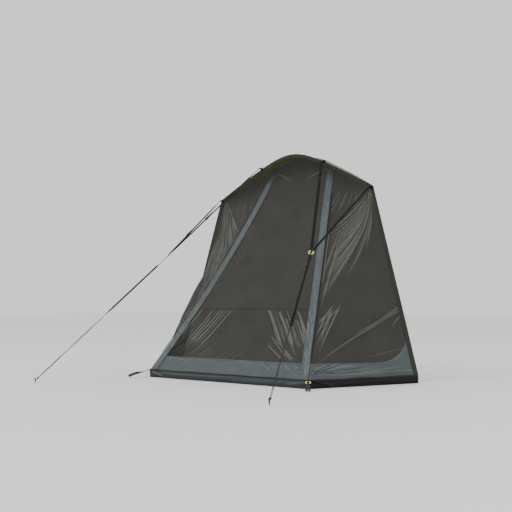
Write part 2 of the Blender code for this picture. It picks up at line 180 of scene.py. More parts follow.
class CornerArc:
    """The right-hand front corner: a circular arc that sags a little into the room."""

    def __init__(self):
        start, end = CORNER_BASE, mesh_seam(CORNER_TOP_X)
        chord = end - start
        self.length = float(np.linalg.norm(chord))
        self.along = unit(chord)
        self.middle = unit(CORNER_SAG_WAY - self.along * (CORNER_SAG_WAY @ self.along))
        self.radius = self.length**2 / (8 * CORNER_SAG) + CORNER_SAG / 2
        self.half_angle = math.asin(self.length / 2 / self.radius)
        self.centre = mix(start, end, 0.5) + self.middle * (CORNER_SAG - self.radius)
        self.across = np.cross(self.middle, self.along)

    def axes(self, share):
        """(across, tangent, outward) unit vectors at shares of the arc."""
        angle = (2 * np.asarray(share, float)[..., None] - 1) * self.half_angle
        radial = self.middle * np.cos(angle) + self.along * np.sin(angle)
        return self.across, self.along * np.cos(angle) - self.middle * np.sin(angle), -radial

    def point(self, share, along_side=0.0, lift=0.0):
        """Points beside the arc: along_side towards the rear, lift outwards."""
        outward = self.axes(share)[2]
        return self.centre - outward * (self.radius - lift) + self.across * along_side


CORNER = CornerArc()


def front_point(s, t):
    """The front wall: s from -1 to 1 across, t from the tub to the net's top seam."""
    s, t = np.broadcast_arrays(np.asarray(s, float), np.asarray(t, float))
    rise = mesh_seam(0.0) - mesh_seam(CORNER_TOP_X)
    crown = np.maximum(0.0, (t - CROWN_START) / (1 - CROWN_START)) ** 2 * (1 - s * s)
    return CORNER.point(t) * spots(s, 1.0, 1.0) + rise * spots(0.0, crown, crown)


def side_point(u, v):
    """The right-hand wall: u from the front corner to the leg, v from the tub to the seam."""
    u, v = np.broadcast_arrays(np.asarray(u, float), np.asarray(v, float))
    across, up = u[..., None], v[..., None]
    base = mix(CORNER.point(0.0), leg_line(0.0), across)
    top = mesh_seam(CORNER_TOP_X + (SHOULDER[0] - CORNER_TOP_X) * u) + UP * (EAVE_FALL * across)
    corners = mix(base, mix(CORNER.point(1.0), leg_line(1.0), across), up)
    point = mix(CORNER.point(v), leg_line(v), across) + mix(base, top, up) - corners
    bulge = SIDE_BULGE * np.sin(math.pi * u) ** 2 * BULGE_SHAPE * v * (1 - v) ** 2
    return point + SIDE_BULGE_WAY * bulge[..., None]


def side_width(v):
    """The side wall's width at shares of its height."""
    return np.linalg.norm(leg_line(v) - CORNER.point(v), axis=-1)


def gusset_top(u):
    """The share of the side wall's height where its skirt ends."""
    rise = np.maximum(0.0, (u - GUSSET_START) / (1 - GUSSET_START))
    return SKIRT_SHARE + (GUSSET_SHARE - SKIRT_SHARE) * (1 - np.sqrt(1 - rise * rise))


def eave_point(a, b):
    """The eave: a from -1 to 1 across the crown, b from the arch edge back to the net."""
    x = a * (SHOULDER[0] - 0.012)
    return mix(arch_edge(x), mesh_seam(x), np.asarray(b, float)[..., None])


def normals_of(surface, a, b):
    """Unit vectors out of a surface, on the side that the room's outside is."""
    step = 1e-3
    along = surface(a + step, b) - surface(a - step, b)
    up = surface(a, b + step) - surface(a, b - step)
    return unit(np.cross(along, up))


def side_way():
    """The direction of the right-hand tub wall, and the way out of it."""
    way = unit(leg_line(0.0) - CORNER_BASE)
    return way, np.array((way[1], -way[0], 0.0))


# ---------------------------------------------------------------- wrinkles


class Crease:
    """A straight fold from start to end, in metres on the cloth.

    width is its half-width at the start and spread times that at its end. shade is how much the top of the
    fold is lightened in colour, partly for the denser threads of the stretched cloth and partly as a painted
    sheen highlight, and bow how far its middle leaves the line.
    """

    def __init__(self, start, end, width, height, shade=1.0, spread=1.0, bow=0.0, sharp=0.10):
        self.start, self.end = np.array(start, float), np.array(end, float)
        self.width, self.height, self.spread = width, height, spread
        self.shade, self.bow, self.sharp = shade, bow, sharp

    def field(self, metric):
        """How high the fold stands, and how much lighter its top is painted (partly denser threads, partly
        painted highlight), at points of the cloth.
        """
        way = self.end - self.start
        length = np.linalg.norm(way)
        way /= length
        rel = metric - self.start
        along = rel @ way / length
        off = rel @ np.array((-way[1], way[0])) - self.bow * 4 * along * (1 - along)
        q = off / (self.width * mix(1.0, self.spread, np.clip(along, 0, 1)))
        fade = ease(along / self.sharp) * ease((1 - along) / 0.30)
        height = self.height * fade * (np.exp(-q * q) - 0.35 * np.exp(-((np.abs(q) - 1.7) ** 2)))
        return height, self.shade * fade * np.exp(-((1.25 * q) ** 2))


def crease_fields(metric, creases):
    height, shade = np.zeros(metric.shape[:-1]), np.zeros(metric.shape[:-1])
    for crease in creases:
        more_height, more_shade = crease.field(metric)
        height += more_height
        shade = np.maximum(shade, more_shade)
    return height, shade


def swell(metric, draw, height, wavelength):
    """Slow waves in several directions, for cloth that isn't quite flat."""
    total = np.zeros(metric.shape[:-1])
    for _ in range(7):
        turn = draw.uniform(0, math.pi)
        way = np.array((math.cos(turn), math.sin(turn))) * 2 * math.pi / wavelength
        total += np.sin(metric @ way * draw.uniform(0.6, 1.6) + draw.uniform(0, 6.28))
    return total * height / 3


def fan(draw, start, ends, width, height, scatter=0.012, **more):
    """Creases from near one point to several, with small differences between them."""
    creases = []
    for end in ends:
        low = np.array(start) + draw.uniform(-scatter, scatter, 2)
        high = np.array(end) + draw.uniform(-0.010, 0.010, 2)
        size = draw.uniform(0.7, 1.3)
        creases.append(Crease(low, high, width * size, height * size, **more))
    return creases


# ---------------------------------------------------------------- meshes


def grid_faces(rows, columns, loop_rows=False, loop_columns=False):
    """Quads of a grid of points, wrapped round where asked."""
    row = np.arange(rows if loop_rows else rows - 1)
    column = np.arange(columns if loop_columns else columns - 1)
    low, left = np.meshgrid(row, column, indexing="ij")
    high, right = (low + 1) % rows, (left + 1) % columns
    corners = (low * columns + left, low * columns + right, high * columns + right, high * columns + left)
    return np.stack(corners, -1).reshape(-1, 4).tolist()


def skin_faces(rows, columns, closed=False):
    """Faces of a tube of points, with its two end caps unless it closes on itself."""
    faces = grid_faces(rows, columns, closed, True)
    last = (rows - 1) * columns
    return faces if closed else [*faces, [*range(columns)][::-1], [*range(last, last + columns)]]


def repeated_faces(one, points):
    """The faces of one small solid, again for each row of points."""
    copies = np.array(one)[None] + points.shape[1] * np.arange(len(points))[:, None, None]
    return copies.reshape(-1, len(one[0])).tolist()


class Shape:
    """Points, faces and two attributes, which other shapes can be joined to."""

    def __init__(self, points=(), faces=(), weave=(), fold=()):
        self.points = np.asarray(points, float).reshape(-1, 3)
        self.faces = list(faces)
        self.weave, self.fold = np.zeros(self.points.shape), np.zeros(len(self.points))
        if len(weave):
            self.weave[:, : weave.shape[-1]] = weave.reshape(len(self.points), -1)
        if len(fold):
            self.fold[:] = fold.ravel()

    def join(self, other):
        base = len(self.points)
        self.points = np.concatenate([self.points, other.points])
        self.faces += [[i + base for i in f] for f in other.faces]
        self.weave = np.concatenate([self.weave, other.weave])
        self.fold = np.concatenate([self.fold, other.fold])
        return self


def joined(shapes):
    whole = Shape()
    for shape in shapes:
        whole.join(shape)
    return whole


def in_part(points, side):
    """Points of the design frame in the part's frame, mirrored for the left-hand side."""
    return points * (side or 1, 1, 1) + (0.0, FRAME_SHIFT, 0.0)


def add_piece(name, shape, material, node=None, body="root", side=0, thickness=0.0):
    """A mesh object in the part's frame that rides on a body and stands for a CAD node.

    side is 1 or -1 for a piece of the right-hand or left-hand side, whose word goes into the
    names where they have {}, and 0 for a piece in the middle.
    """
    name, body = name.format(SIDE_WORDS[side]), body.format(SIDE_WORDS[side])
    faces = [f[::-1] for f in shape.faces] if side < 0 else shape.faces
    mesh = bpy.data.meshes.new(name)
    mesh.from_pydata(in_part(shape.points, side).tolist(), [], faces)
    mesh.attributes.new("weave", "FLOAT_VECTOR", "POINT").data.foreach_set("vector", shape.weave.ravel())
    # fold: how much lighter each crease top is painted, partly for denser threads and partly as a painted
    # sheen highlight
    mesh.attributes.new("fold", "FLOAT", "POINT").data.foreach_set("value", shape.fold.ravel())
    mesh.shade_smooth()
    mesh.set_sharp_from_angle(angle=math.radians(50))
    mesh.materials.append(MATERIALS[material])
    made = bpy.data.objects.new(name, mesh)
    bpy.context.scene.collection.objects.link(made)
    if thickness:
        solidify = made.modifiers.new("thickness", "SOLIDIFY")
        solidify.thickness, solidify.offset = thickness, 0.0
    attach(made, body)
    if node:
        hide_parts(node.format(SIDE_WORDS[side]))
    return made


class Cloth:
    """A sheet over a surface: its base grid, its cut size, and the grid with its wrinkles."""

    def __init__(self, surface, a, b, metric_of, creases, draw, waves, wavelength, hem=0.025, quiet=1.0):
        a, b = np.broadcast_arrays(a, b)
        base = surface(a, b)
        self.normals = normals_of(surface, a, b)
        self.metric = metric_of(a, b, base)
        height, self.fold = crease_fields(self.metric, creases)
        limit = 0.012
        height = limit * np.tanh(height / limit) + swell(self.metric, draw, waves, wavelength)
        height *= self.edge_mask(base, hem) * quiet
        self.grid = base + self.normals * height[..., None]
        steps_up = np.linalg.norm(np.diff(base, axis=0), axis=-1)
        self.size = (float(np.ptp(self.metric[..., 0])), float(steps_up.sum(0).max()))
        quads = np.cross(base[1:, 1:] - base[:-1, :-1], base[1:, :-1] - base[:-1, 1:])
        self.area = float(np.linalg.norm(quads, axis=-1).sum() / 2)

    @staticmethod
    def edge_mask(base, hem):
        """0 at the sewn edges, 1 from hem inwards."""
        rows, columns = base.shape[:2]
        along = np.linalg.norm(np.diff(base, axis=1), axis=-1).mean()
        up = np.linalg.norm(np.diff(base, axis=0), axis=-1).mean()
        column = np.minimum(np.arange(columns), np.arange(columns)[::-1]) * along
        row = np.minimum(np.arange(rows), np.arange(rows)[::-1]) * up
        return ease(np.minimum(column[None, :], row[:, None]) / hem)

    def shape(self):
        return Shape(self.grid, grid_faces(*self.grid.shape[:2]), self.metric, self.fold)

    def fold_edges(self, c, height):
        """Raises the folded edges of a tape, where c goes from 0 to 1 across it."""
        self.grid += self.normals * (height * (np.abs(c - 0.5) > 0.40))[..., None]

    def add(self, name, material, node, rests_on, side=0, thickness=0.0):
        """Adds the cloth as a mesh piece."""
        made = add_piece(name, self.shape(), material, node, side=side, thickness=thickness)


def clear_of_corner_tapes(a, b):
    """0 under the tapes on the front wall, 1 past them."""
    distance = (1 - np.abs(a)) * CORNER.point(b)[..., 0]
    return ease((distance - 0.070) / 0.022)


def clear_of_leg_edge(a, b):
    """0 under the binding of the arch's leg, 1 past it."""
    return ease(((1 - a) * side_width(b) - 0.036) / 0.020)


def front_metric(a, b, base):
    return np.stack([base[..., 0], b * CORNER.length], -1)


def side_metric(a, b, base):
    return np.stack([a * side_width(b), b * CORNER.length], -1)


def strip_metric(width):
    """Metres across and up a tape of one width."""
    return lambda c, t, base: np.stack([c * width, t * CORNER.length], -1)


def frames_along(path):
    """Tangents, and two directions across them that don't twist."""
    tangents = unit(np.gradient(path, axis=0))
    first = np.cross(tangents[0], UP)
    if np.linalg.norm(first) < 1e-3:
        first = np.cross(tangents[0], (1.0, 0.0, 0.0))
    sides = [unit(first)]
    for tangent in tangents[1:]:
        sides.append(unit(sides[-1] - tangent * (sides[-1] @ tangent)))
    return tangents, np.array(sides), np.cross(tangents, sides)


def tube(path, radius, sides=12, closed=False, round_ends=False):
    """A round tube along a path, with weave measured round and along it."""
    path = np.asarray(path, float)
    if closed:
        tangents, one, two = (x[2:-2] for x in frames_along(np.concatenate([path[-2:], path, path[:2]])))
        one = unit(np.cross(tangents, np.cross(one[0], tangents)))
        two = np.cross(tangents, one)
    else:
        tangents, one, two = frames_along(path)
    widths = np.full(len(path), float(radius))
    if round_ends:
        bends = np.linspace(0, math.pi / 2, 5)[1:]
        out = radius * np.sin(bends)[:, None]
        small = radius * np.maximum(np.cos(bends), 0.02)
        path = np.concatenate([path[0] - tangents[0] * out[::-1], path, path[-1] + tangents[-1] * out])
        widths = np.concatenate([small[::-1], widths, small])
        one, two = (np.concatenate([np.repeat(x[:1], 4, 0), x, np.repeat(x[-1:], 4, 0)]) for x in (one, two))
    turn = np.linspace(0, 2 * math.pi, sides, endpoint=False)
    offset = one[:, None] * np.cos(turn)[:, None] + two[:, None] * np.sin(turn)[:, None]
    points = path[:, None] + offset * widths[:, None, None]
    weave = spots(turn[None, :] * widths.max(), lengths(path)[:, None], 0.0)
    return Shape(points, skin_faces(len(path), sides, closed), weave)


def ribbon(path, across, width, thickness=0.0016, edge=0.0004, cells=8):
    """Flat webbing along a path: a closed band with slightly thicker selvedges.

    across is the direction of its width at each point, and width a number or one for each point.
    """
    path = np.asarray(path, float)
    tangents = unit(np.gradient(path, axis=0))
    across = np.broadcast_to(np.asarray(across, float), path.shape)
    across = unit(across - tangents * np.sum(across * tangents, -1, keepdims=True))
    normal = np.cross(across, tangents)
    widths = np.broadcast_to(np.asarray(width, float), (len(path),))
    share = np.linspace(-0.5, 0.5, cells + 1)
    half = thickness / 2 + edge * (np.abs(share) > 0.40)
    half[0] = half[-1] = thickness * 0.25
    x, z = np.concatenate([share, share[::-1]]), np.concatenate([half, -half[::-1]])
    wide = across[:, None] * (x[:, None] * widths[:, None, None])
    points = path[:, None] + wide + normal[:, None] * z[:, None]
    weave = spots(x * widths[:, None], lengths(path)[:, None], 0.0)
    return Shape(points, skin_faces(len(path), len(x)), weave)


def block(centre, axes, size, bevel, segments=2, taper=1.0):
    """A moulded block with rounded edges. taper narrows its far end along the second axis."""
    shape = bmesh.new()
    bmesh.ops.create_cube(shape, size=1.0)
    for vertex in shape.verts:
        x, y, z = vertex.co
        vertex.co = Vector((x * size[0] * (taper if y > 0 else 1.0), y * size[1], z * size[2]))
    bmesh.ops.bevel(shape, geom=shape.edges[:], offset=bevel, segments=segments, profile=0.6, affect="EDGES")
    shape.verts.index_update()
    local = np.array([v.co[:] for v in shape.verts])
    faces = [[v.index for v in f.verts] for f in shape.faces]
    shape.free()
    axes = np.array(axes, float)
    if np.linalg.det(axes) < 0:
        faces = [f[::-1] for f in faces]
    return Shape(np.asarray(centre) + local @ axes, faces, local[:, :2])


def stitches(path, normals, pitch=0.0075, length=0.0052, width=0.0011, lift=0.0006):
    """A row of thread stitches along a line on a cloth."""
    path = np.asarray(path, float)
    middles = np.arange(pitch / 2, lengths(path)[-1], pitch)
    start, end = (sample(path, path, middles + d) for d in (-length / 2, length / 2))
    out, way = sample(normals, path, middles), unit(end - start)
    out = unit(out - way * np.sum(out * way, -1, keepdims=True))
    sideways = np.cross(way, out)
    centre = (start + end) / 2 + out * lift
    ring = [centre + ways * width / 2 for ways in (sideways, out, -sideways, -out)]
    points = np.stack([start + out * lift * 0.3, end + out * lift * 0.3, *ring], 1)
    one = [(0, 3, 2), (0, 4, 3), (0, 5, 4), (0, 2, 5), (1, 2, 3), (1, 3, 4), (1, 4, 5), (1, 5, 2)]
    return Shape(points, repeated_faces(one, points))


def zip_teeth(path, across, normal, pitch, size, stagger=0.0):
    """Interlocking coil teeth along a path, one block each, alternately left and right."""
    at = np.arange(pitch / 2, lengths(path)[-1], pitch)
    middle = sample(path, path, at)
    way = unit(np.gradient(middle, axis=0))
    across, normal = sample(across, path, at), sample(normal, path, at)
    middle = middle + across * (stagger * np.where(np.arange(len(at)) % 2, 1.0, -1.0))[:, None]
    signs = [(x * wide, y * deep, z) for z, wide, deep in ((-1, 1, 1), (1, 0.8, 0.7))
             for x, y in ((-1, -1), (1, -1), (1, 1), (-1, 1))]
    across, way, normal = across * size[0] / 2, way * size[1] / 2, normal * size[2] / 2
    points = np.stack([middle + across * x + way * y + normal * z for x, y, z in signs], 1)
    one = [(3, 2, 1, 0), (4, 5, 6, 7), (0, 1, 5, 4), (1, 2, 6, 5), (2, 3, 7, 6), (3, 0, 4, 7)]
    return Shape(points, repeated_faces(one, points))


def blocks(centre, axes, rows):
    """Blocks in one frame. Each row is a place along the axes, and what block takes after them."""
    return joined(block(centre + np.array(at) @ np.array(axes), axes, *rest) for at, *rest in rows)


def arc(centre, one, two, angles):
    """Points round a centre at angles from one towards two, whose lengths are the radii."""
    return centre + np.outer(np.cos(angles), one) + np.outer(np.sin(angles), two)


def full_turn(count):
    return np.linspace(0, 2 * math.pi, count, endpoint=False)


def add_rows(name, rows, material="dark_thread", body="root", side=0):
    """Rows of stitches as one piece."""
    return add_piece(name, joined(rows), material, body=body, side=side)


# ---------------------------------------------------------------- materials


class Finish:
    """A Principled material and the nodes that vary it."""

    def __init__(self, name, colour, roughness, metallic=0.0, **constants):
        self.material = bpy.data.materials.new(name)
        self.material.use_nodes = True
        self.tree = self.material.node_tree
        self.shader = self.tree.nodes["Principled BSDF"]
        self.colour, self.roughness = colour, roughness
        constants.update(Base_Color=(*colour, 1.0), Roughness=roughness, Metallic=metallic)
        for socket, value in constants.items():
            self.set(socket.replace("_", " "), value)

    def feed(self, socket, value):
        """Links a socket to another one, or gives it a fixed value."""
        if isinstance(value, bpy.types.NodeSocket):
            self.tree.links.new(value, socket)
        else:
            socket.default_value = value

    def set(self, socket, value):
        self.feed(self.shader.inputs[socket], value)

    def node(self, kind, inputs=(), **settings):
        made = self.tree.nodes.new(kind)
        for name, value in settings.items():
            setattr(made, name, value)
        for key, value in dict(inputs).items():
            self.feed(made.inputs[key], value)
        return made

    def math(self, operation, a, b=0.0):
        return self.node("ShaderNodeMath", {0: a, 1: b}, operation=operation).outputs[0]

    def attribute(self, name, output):
        made = self.node("ShaderNodeAttribute", attribute_name=name, attribute_type="GEOMETRY")
        return made.outputs[output]

    def noise(self, scale, detail=3.0, roughness=0.55):
        place = self.node("ShaderNodeTexCoord").outputs["Object"]
        inputs = {"Scale": scale, "Detail": detail, "Roughness": roughness, "Vector": place}
        return self.node("ShaderNodeTexNoise", inputs).outputs["Fac"]

    def spread(self, value, low, high, to_low, to_high):
        """value from low to high, as to_low to to_high, held beyond both."""
        inputs = {"Value": value, "From Min": low, "From Max": high, "To Min": to_low, "To Max": to_high}
        return self.node("ShaderNodeMapRange", inputs).outputs["Result"]

    def blend(self, factor, a, b, kind="MIX"):
        colours = {key: (*c, 1.0) if isinstance(c, tuple) else c for key, c in ((6, a), (7, b))}
        made = self.node("ShaderNodeMix", data_type="RGBA", blend_type=kind)
        for key, value in {0: factor, **colours}.items():
            self.feed(made.inputs[key], value)
        return made.outputs[2]

    def mottle(self, amount, scale):
        """Slow differences in the dye's depth."""
        light = tuple(min(1.0, c * (1 + amount)) for c in self.colour)
        dark = tuple(c * (1 - amount) for c in self.colour)
        return self.blend(self.spread(self.noise(scale), 0.3, 0.7, 0.0, 1.0), dark, light)

    def highlighted_creases(self, base, crest_highlight):
        """The base colour, lighter on the tops of creases: partly denser threads, partly a painted sheen
        highlight.
        """
        return self.blend(self.spread(self.attribute("fold", "Fac"), 0.0, 1.0, 0.0, 1.0), base, crest_highlight)

    def uneven_gloss(self, scale, less, more):
        low, high = self.roughness - less, self.roughness + more
        self.set("Roughness", self.spread(self.noise(scale), 0.3, 0.7, low, high))

    def threads(self, across, along):
        """Waves across and along the weave, with wavelengths in metres."""
        parts = self.node("ShaderNodeSeparateXYZ", {0: self.attribute("weave", "Vector")}).outputs
        turns = [self.math("MULTIPLY", parts[i], 2 * math.pi / wave) for i, wave in ((0, across), (1, along))]
        return [self.math("SINE", turn) for turn in turns]

    def net_holes(self, pitch):
        """1 in the middle of each hole of a square net, 0 on its threads."""
        waves = [self.math("ABSOLUTE", wave) for wave in self.threads(2 * pitch, 2 * pitch)]
        return self.spread(self.math("MINIMUM", *waves), 0.30, 0.62, 0.0, 1.0)

    def bump(self, height, strength, distance):
        inputs = {"Strength": strength, "Distance": distance, "Height": height}
        self.set("Normal", self.node("ShaderNodeBump", inputs).outputs["Normal"])
        return self.material


def cloth_finish(name, colour, roughness, crest_highlight, pitch, relief, mottle=0.12, crinkle=0.0, **constants):
    """Woven cloth, lighter on the tops of its creases: partly denser threads, partly a painted sheen
    highlight.
    """
    made = Finish(name, colour, roughness, **constants)
    made.set("Base Color", made.highlighted_creases(made.mottle(mottle, 5.0), crest_highlight))
    made.uneven_gloss(24.0, 0.06, 0.06)
    height = made.math("MULTIPLY", *made.threads(pitch, pitch))
    if crinkle:
        height = made.math("ADD", height, made.math("MULTIPLY", made.noise(38.0, 4.0), crinkle))
    return made.bump(height, 0.6, relief)


def net_finish(name, colour, roughness, crest_highlight, pitch, **constants):
    """Fine square net, darker in its holes, lighter on the tops of its creases: partly denser threads, partly
    a painted sheen highlight.
    """
    made = Finish(name, colour, roughness, **constants)
    threads = made.highlighted_creases(made.mottle(0.22, 5.0), crest_highlight)
    holes = made.net_holes(pitch)
    in_holes = made.blend(1.0, threads, (0.36, 0.36, 0.36), "MULTIPLY")
    made.set("Base Color", made.blend(holes, threads, in_holes))
    made.uneven_gloss(24.0, 0.06, 0.06)
    return made.bump(made.math("SUBTRACT", 1.0, holes), 0.5, 0.0004)


def webbing_finish(name, colour, roughness, across, along, relief, fleck):
    """Ribbed webbing or braid, with lighter worn threads on its ribs."""
    made = Finish(name, colour, roughness, Specular_IOR_Level=0.18)
    ribs = made.math("MULTIPLY", *made.threads(across, along))
    worn = made.spread(made.math("MULTIPLY", ribs, made.noise(60.0)), 0.1, 0.5, 0.0, 0.75)
    made.set("Base Color", made.blend(worn, made.mottle(0.15, 9.0), fleck))
    made.uneven_gloss(70.0, 0.08, 0.08)
    return made.bump(ribs, 0.8, relief)


def plastic_finish(name, colour, roughness, grain, **constants):
    """Moulded plastic with a fine grain and slightly uneven gloss."""
    made = Finish(name, colour, roughness, **constants)
    made.set("Base Color", made.mottle(0.06, 30.0))
    made.uneven_gloss(120.0, 0.06, 0.10)
    return made.bump(made.noise(900.0, 2.0), 0.35, grain)


def metal_finish(name, colour, worn, roughness, metallic):
    """Coated metal that has worn to lighter patches."""
    made = Finish(name, colour, roughness, metallic, Coat_Weight=0.2, Coat_Roughness=0.3)
    wear = made.spread(made.noise(85.0, 6.0, 0.65), 0.58, 0.72, 0.0, 1.0)
    made.set("Base Color", made.blend(wear, made.mottle(0.10, 40.0), worn))
    made.uneven_gloss(200.0, 0.1, 0.1)
    return made.bump(made.noise(700.0, 2.0), 0.3, 0.0001)


# The second colour of each cloth and of the net is the lighter colour of its crease tops: partly denser
# threads, partly a painted sheen highlight.
MATERIALS = {
    "mesh": net_finish(
        "insect_net", (0.0275, 0.0264, 0.0188), 0.68, (0.19, 0.189, 0.157), 0.0012,
        Alpha=0.973, Specular_IOR_Level=0.15, Sheen_Weight=0.05, Sheen_Roughness=0.45,
    ),
    "tape": cloth_finish(
        "grosgrain_tape", (0.060, 0.078, 0.081), 0.66, (0.20, 0.24, 0.24), 0.0030, 0.0005,
        0.10, Sheen_Weight=0.15, Sheen_Roughness=0.5,
    ),
    "skirt": cloth_finish(
        "skirt_polyester", (0.046, 0.063, 0.066), 0.54, (0.165, 0.19, 0.19), 0.0016, 0.0003,
        0.10, 1.5, Sheen_Weight=0.12, Sheen_Roughness=0.4,
    ),
    "tub": cloth_finish(
        "coated_tub_cloth", (0.016, 0.024, 0.027), 0.46, (0.085, 0.105, 0.11), 0.0020, 0.0003,
        0.14, 2.5, Specular_IOR_Level=0.35, Coat_Weight=0.05, Coat_Roughness=0.35,
    ),
    # A near-black copy of the tub cloth for the side walls: painted shade on the same cloth as the front
    # wall.
    "tub_side": cloth_finish(
        "coated_tub_cloth_shaded", (0.0045, 0.005, 0.0045), 0.55, (0.030, 0.034, 0.034), 0.0020, 0.0003,
        0.14, 2.5, Specular_IOR_Level=0.22, Coat_Weight=0.02, Coat_Roughness=0.35,
    ),
    "floor": cloth_finish(
        "groundsheet_laminate", (0.030, 0.034, 0.034), 0.55, (0.08, 0.09, 0.09), 0.0050, 0.0006, 0.16, 2.0
    ),
    "eave": cloth_finish(
        "eave_cloth", (0.100, 0.108, 0.040), 0.60, (0.22, 0.225, 0.12), 0.0014, 0.0003,
        0.14, 1.5, Sheen_Weight=0.10, Sheen_Roughness=0.45,
    ),
    "binding": webbing_finish(
        "edge_binding", (0.032, 0.032, 0.026), 0.72, 0.0030, 0.0022, 0.0004, (0.0668, 0.0668, 0.0554)
    ),
    "webbing": webbing_finish(
        "guy_webbing", (0.0062, 0.0058, 0.0048), 0.80, 0.0042, 0.0026, 0.0008, (0.019, 0.018, 0.015)
    ),
    "strap": webbing_finish(
        "corner_webbing", (0.046, 0.045, 0.042), 0.80, 0.0042, 0.0026, 0.0008, (0.095, 0.092, 0.085)
    ),
    "cord": webbing_finish(
        "braided_cord", (0.024, 0.022, 0.018), 0.72, 0.0016, 0.0022, 0.0005, (0.16, 0.15, 0.13)
    ),
    "thread": Finish("sewing_thread", (0.17, 0.19, 0.19), 0.55, Sheen_Weight=0.3).material,
    "dark_thread": Finish("dark_sewing_thread", (0.075, 0.073, 0.062), 0.55, Sheen_Weight=0.3).material,
    "tracer": Finish("reflective_tracer", (0.46, 0.46, 0.43), 0.35, Coat_Weight=0.2).material,
    "ring": plastic_finish("lemon_acetal", (0.76, 0.79, 0.24), 0.32, 0.00012, Coat_Weight=0.15),
    "buckle": plastic_finish("black_nylon", (0.012, 0.012, 0.012), 0.42, 0.00020),
    "zip": plastic_finish("zip_coil_nylon", (0.020, 0.020, 0.019), 0.40, 0.00010),
    "slider": metal_finish("painted_zinc", (0.014, 0.014, 0.015), (0.20, 0.20, 0.19), 0.38, 0.3),
    "peg": metal_finish("dark_plated_steel", (0.014, 0.014, 0.014), (0.045, 0.043, 0.040), 0.45, 0.35),
}


# ---------------------------------------------------------------- tub and groundsheet


def add_tub_wall(name, material, node, side, seed, start, end, outward, puff, dents):
    """A slack wall that puffs out between the ground and the sill, with long dents."""
    length = float(np.linalg.norm(end - start))
    up, share = np.linspace(0.0, 1.0, 15)[:, None], np.linspace(0.0, 1.0, int(length / 0.006))
    heights = mix(GROUND_GAP, CORNER_BASE[2], up)
    metric = np.stack(np.broadcast_arrays(share * length, heights), -1)
    height, shade = crease_fields(metric, dents)
    height += swell(metric * (1.0, 2.5), np.random.default_rng(seed), 0.0016, 0.16)
    out = puff * np.sin(math.pi * up) ** 0.8 + height * np.sin(math.pi * up) ** 0.6
    out *= ease(np.minimum(share, 1 - share) * length / 0.05)
    line = mix(start, end, share[:, None]) * (1, 1, 0)
    points = line + UP * heights[..., None] + outward * out[..., None]
    wall = Shape(points, grid_faces(*out.shape), metric, shade)
    made = add_piece(name, wall, material, node, side=side)


def make_tub():
    dents = [
        Crease((0.02, 0.052), (0.17, 0.014), 0.008, 0.0080, 0.9, 1.5),
        Crease((0.01, 0.036), (0.13, 0.006), 0.006, -0.0070, 0.0, 1.6),
        Crease((0.03, 0.058), (0.34, 0.040), 0.007, -0.0055, 0.0, 1.6),
        Crease((0.12, 0.048), (0.42, 0.030), 0.008, 0.0050, 0.35, 1.4),
        Crease((0.30, 0.034), (0.95, 0.038), 0.012, 0.0035, 0.30, bow=0.004),
        Crease((0.85, 0.030), (1.50, 0.036), 0.011, 0.0030, 0.25, bow=-0.004),
        Crease((1.58, 0.048), (1.38, 0.022), 0.009, 0.0045, 0.5, 1.5),
    ]
    left = CORNER_BASE * (-1, 1, 1)
    add_tub_wall("tub_front_cloth", "tub", "tub_front", 0, 11, left, CORNER_BASE, FRONT, 0.011, dents)
    dents = [
        Crease((0.01, 0.052), (0.24, 0.016), 0.007, 0.0045, 0.6, 1.4),
        Crease((0.01, 0.050), (0.15, 0.010), 0.006, 0.0035, 0.4, 1.4),
        Crease((0.25, 0.030), (0.85, 0.034), 0.010, 0.0030, 0.15, bow=0.003),
    ]
    # The side walls take the near-black copy of the tub cloth: painted shade, the same cloth as the front
    # wall.
    line = CORNER_BASE, leg_line(0.0), side_way()[1]
    for side in SIDES:
        add_tub_wall("tub_side_cloth{}", "tub_side", "tub{}", side, 12 + side, *line, 0.006, dents)


def make_groundsheet():
    """The floor laminate, rising a little over its creases, turned up into the tub walls."""
    rear = leg_line(0.0)
    a, b = grid(-1, 1, 201, 0, 1, 81)
    front = CORNER_BASE[0] + 0.001
    points = spots(a * mix(front, rear[0] + 0.001, b), mix(CORNER_BASE[1] - 0.001, rear[1], b), GROUND_GAP)
    metric = points[..., :2]
    creases = [
        Crease((-1.0, -0.15), (0.2, -0.80), 0.010, 0.003, 0.4),
        Crease((0.9, -0.20), (-0.1, -0.70), 0.009, 0.003, 0.4),
        Crease((-0.4, -0.12), (-0.5, -0.85), 0.008, 0.0025, 0.3),
        Crease((0.45, -0.12), (0.5, -0.85), 0.008, 0.0025, 0.3),
    ]
    height, shade = crease_fields(metric, creases)
    rise = np.maximum(height + swell(metric, np.random.default_rng(21), 0.0015, 0.45), 0.0)
    points[..., 2] += rise * Cloth.edge_mask(points, 0.05)
    laminate = Shape(points, grid_faces(*a.shape), metric, shade)
    made = add_piece("groundsheet_laminate", laminate, "floor", "groundsheet")


def make_sills():
    """The piping and stitched flange over the seam between the tub and the skirts."""
    way, out = side_way()
    rear = leg_line(0.0)
    runs = [("_front", 0, CORNER_BASE * (-1, 1, 1), CORNER_BASE, 120, FRONT)]
    runs += [("{}", side, CORNER_BASE, rear, 80, out) for side in SIDES]
    for word, side, start, end, count, outward in runs:
        line = np.linspace(start, end, count)
        line[:, 2] += 0.0015 * np.sin(np.arange(count) * 0.21)
        sill = tube(line + outward * 0.0030 - UP * 0.0015, 0.0022, 10)
        sill.join(ribbon(line + outward * 0.0022 + UP * 0.0035, UP, 0.007, 0.0008, 0.0002, 4))
        if side:
            foot = rear * (1, 1, 0) - way * 0.006 + out * 0.0045
            rise = foot + UP * np.linspace(0.003, 0.056, 12)[:, None]
            sill.join(ribbon(rise, way, 0.014, 0.0010, 0.0003, 4))
        add_piece(f"sill_piping{word}", sill, "binding", f"sill{word}", side=side)
        seam = stitches(line + outward * 0.0028 + UP * 0.0045, outward)
        add_rows(f"sill_stitching{word}", [seam], side=side)


# ---------------------------------------------------------------- skirts


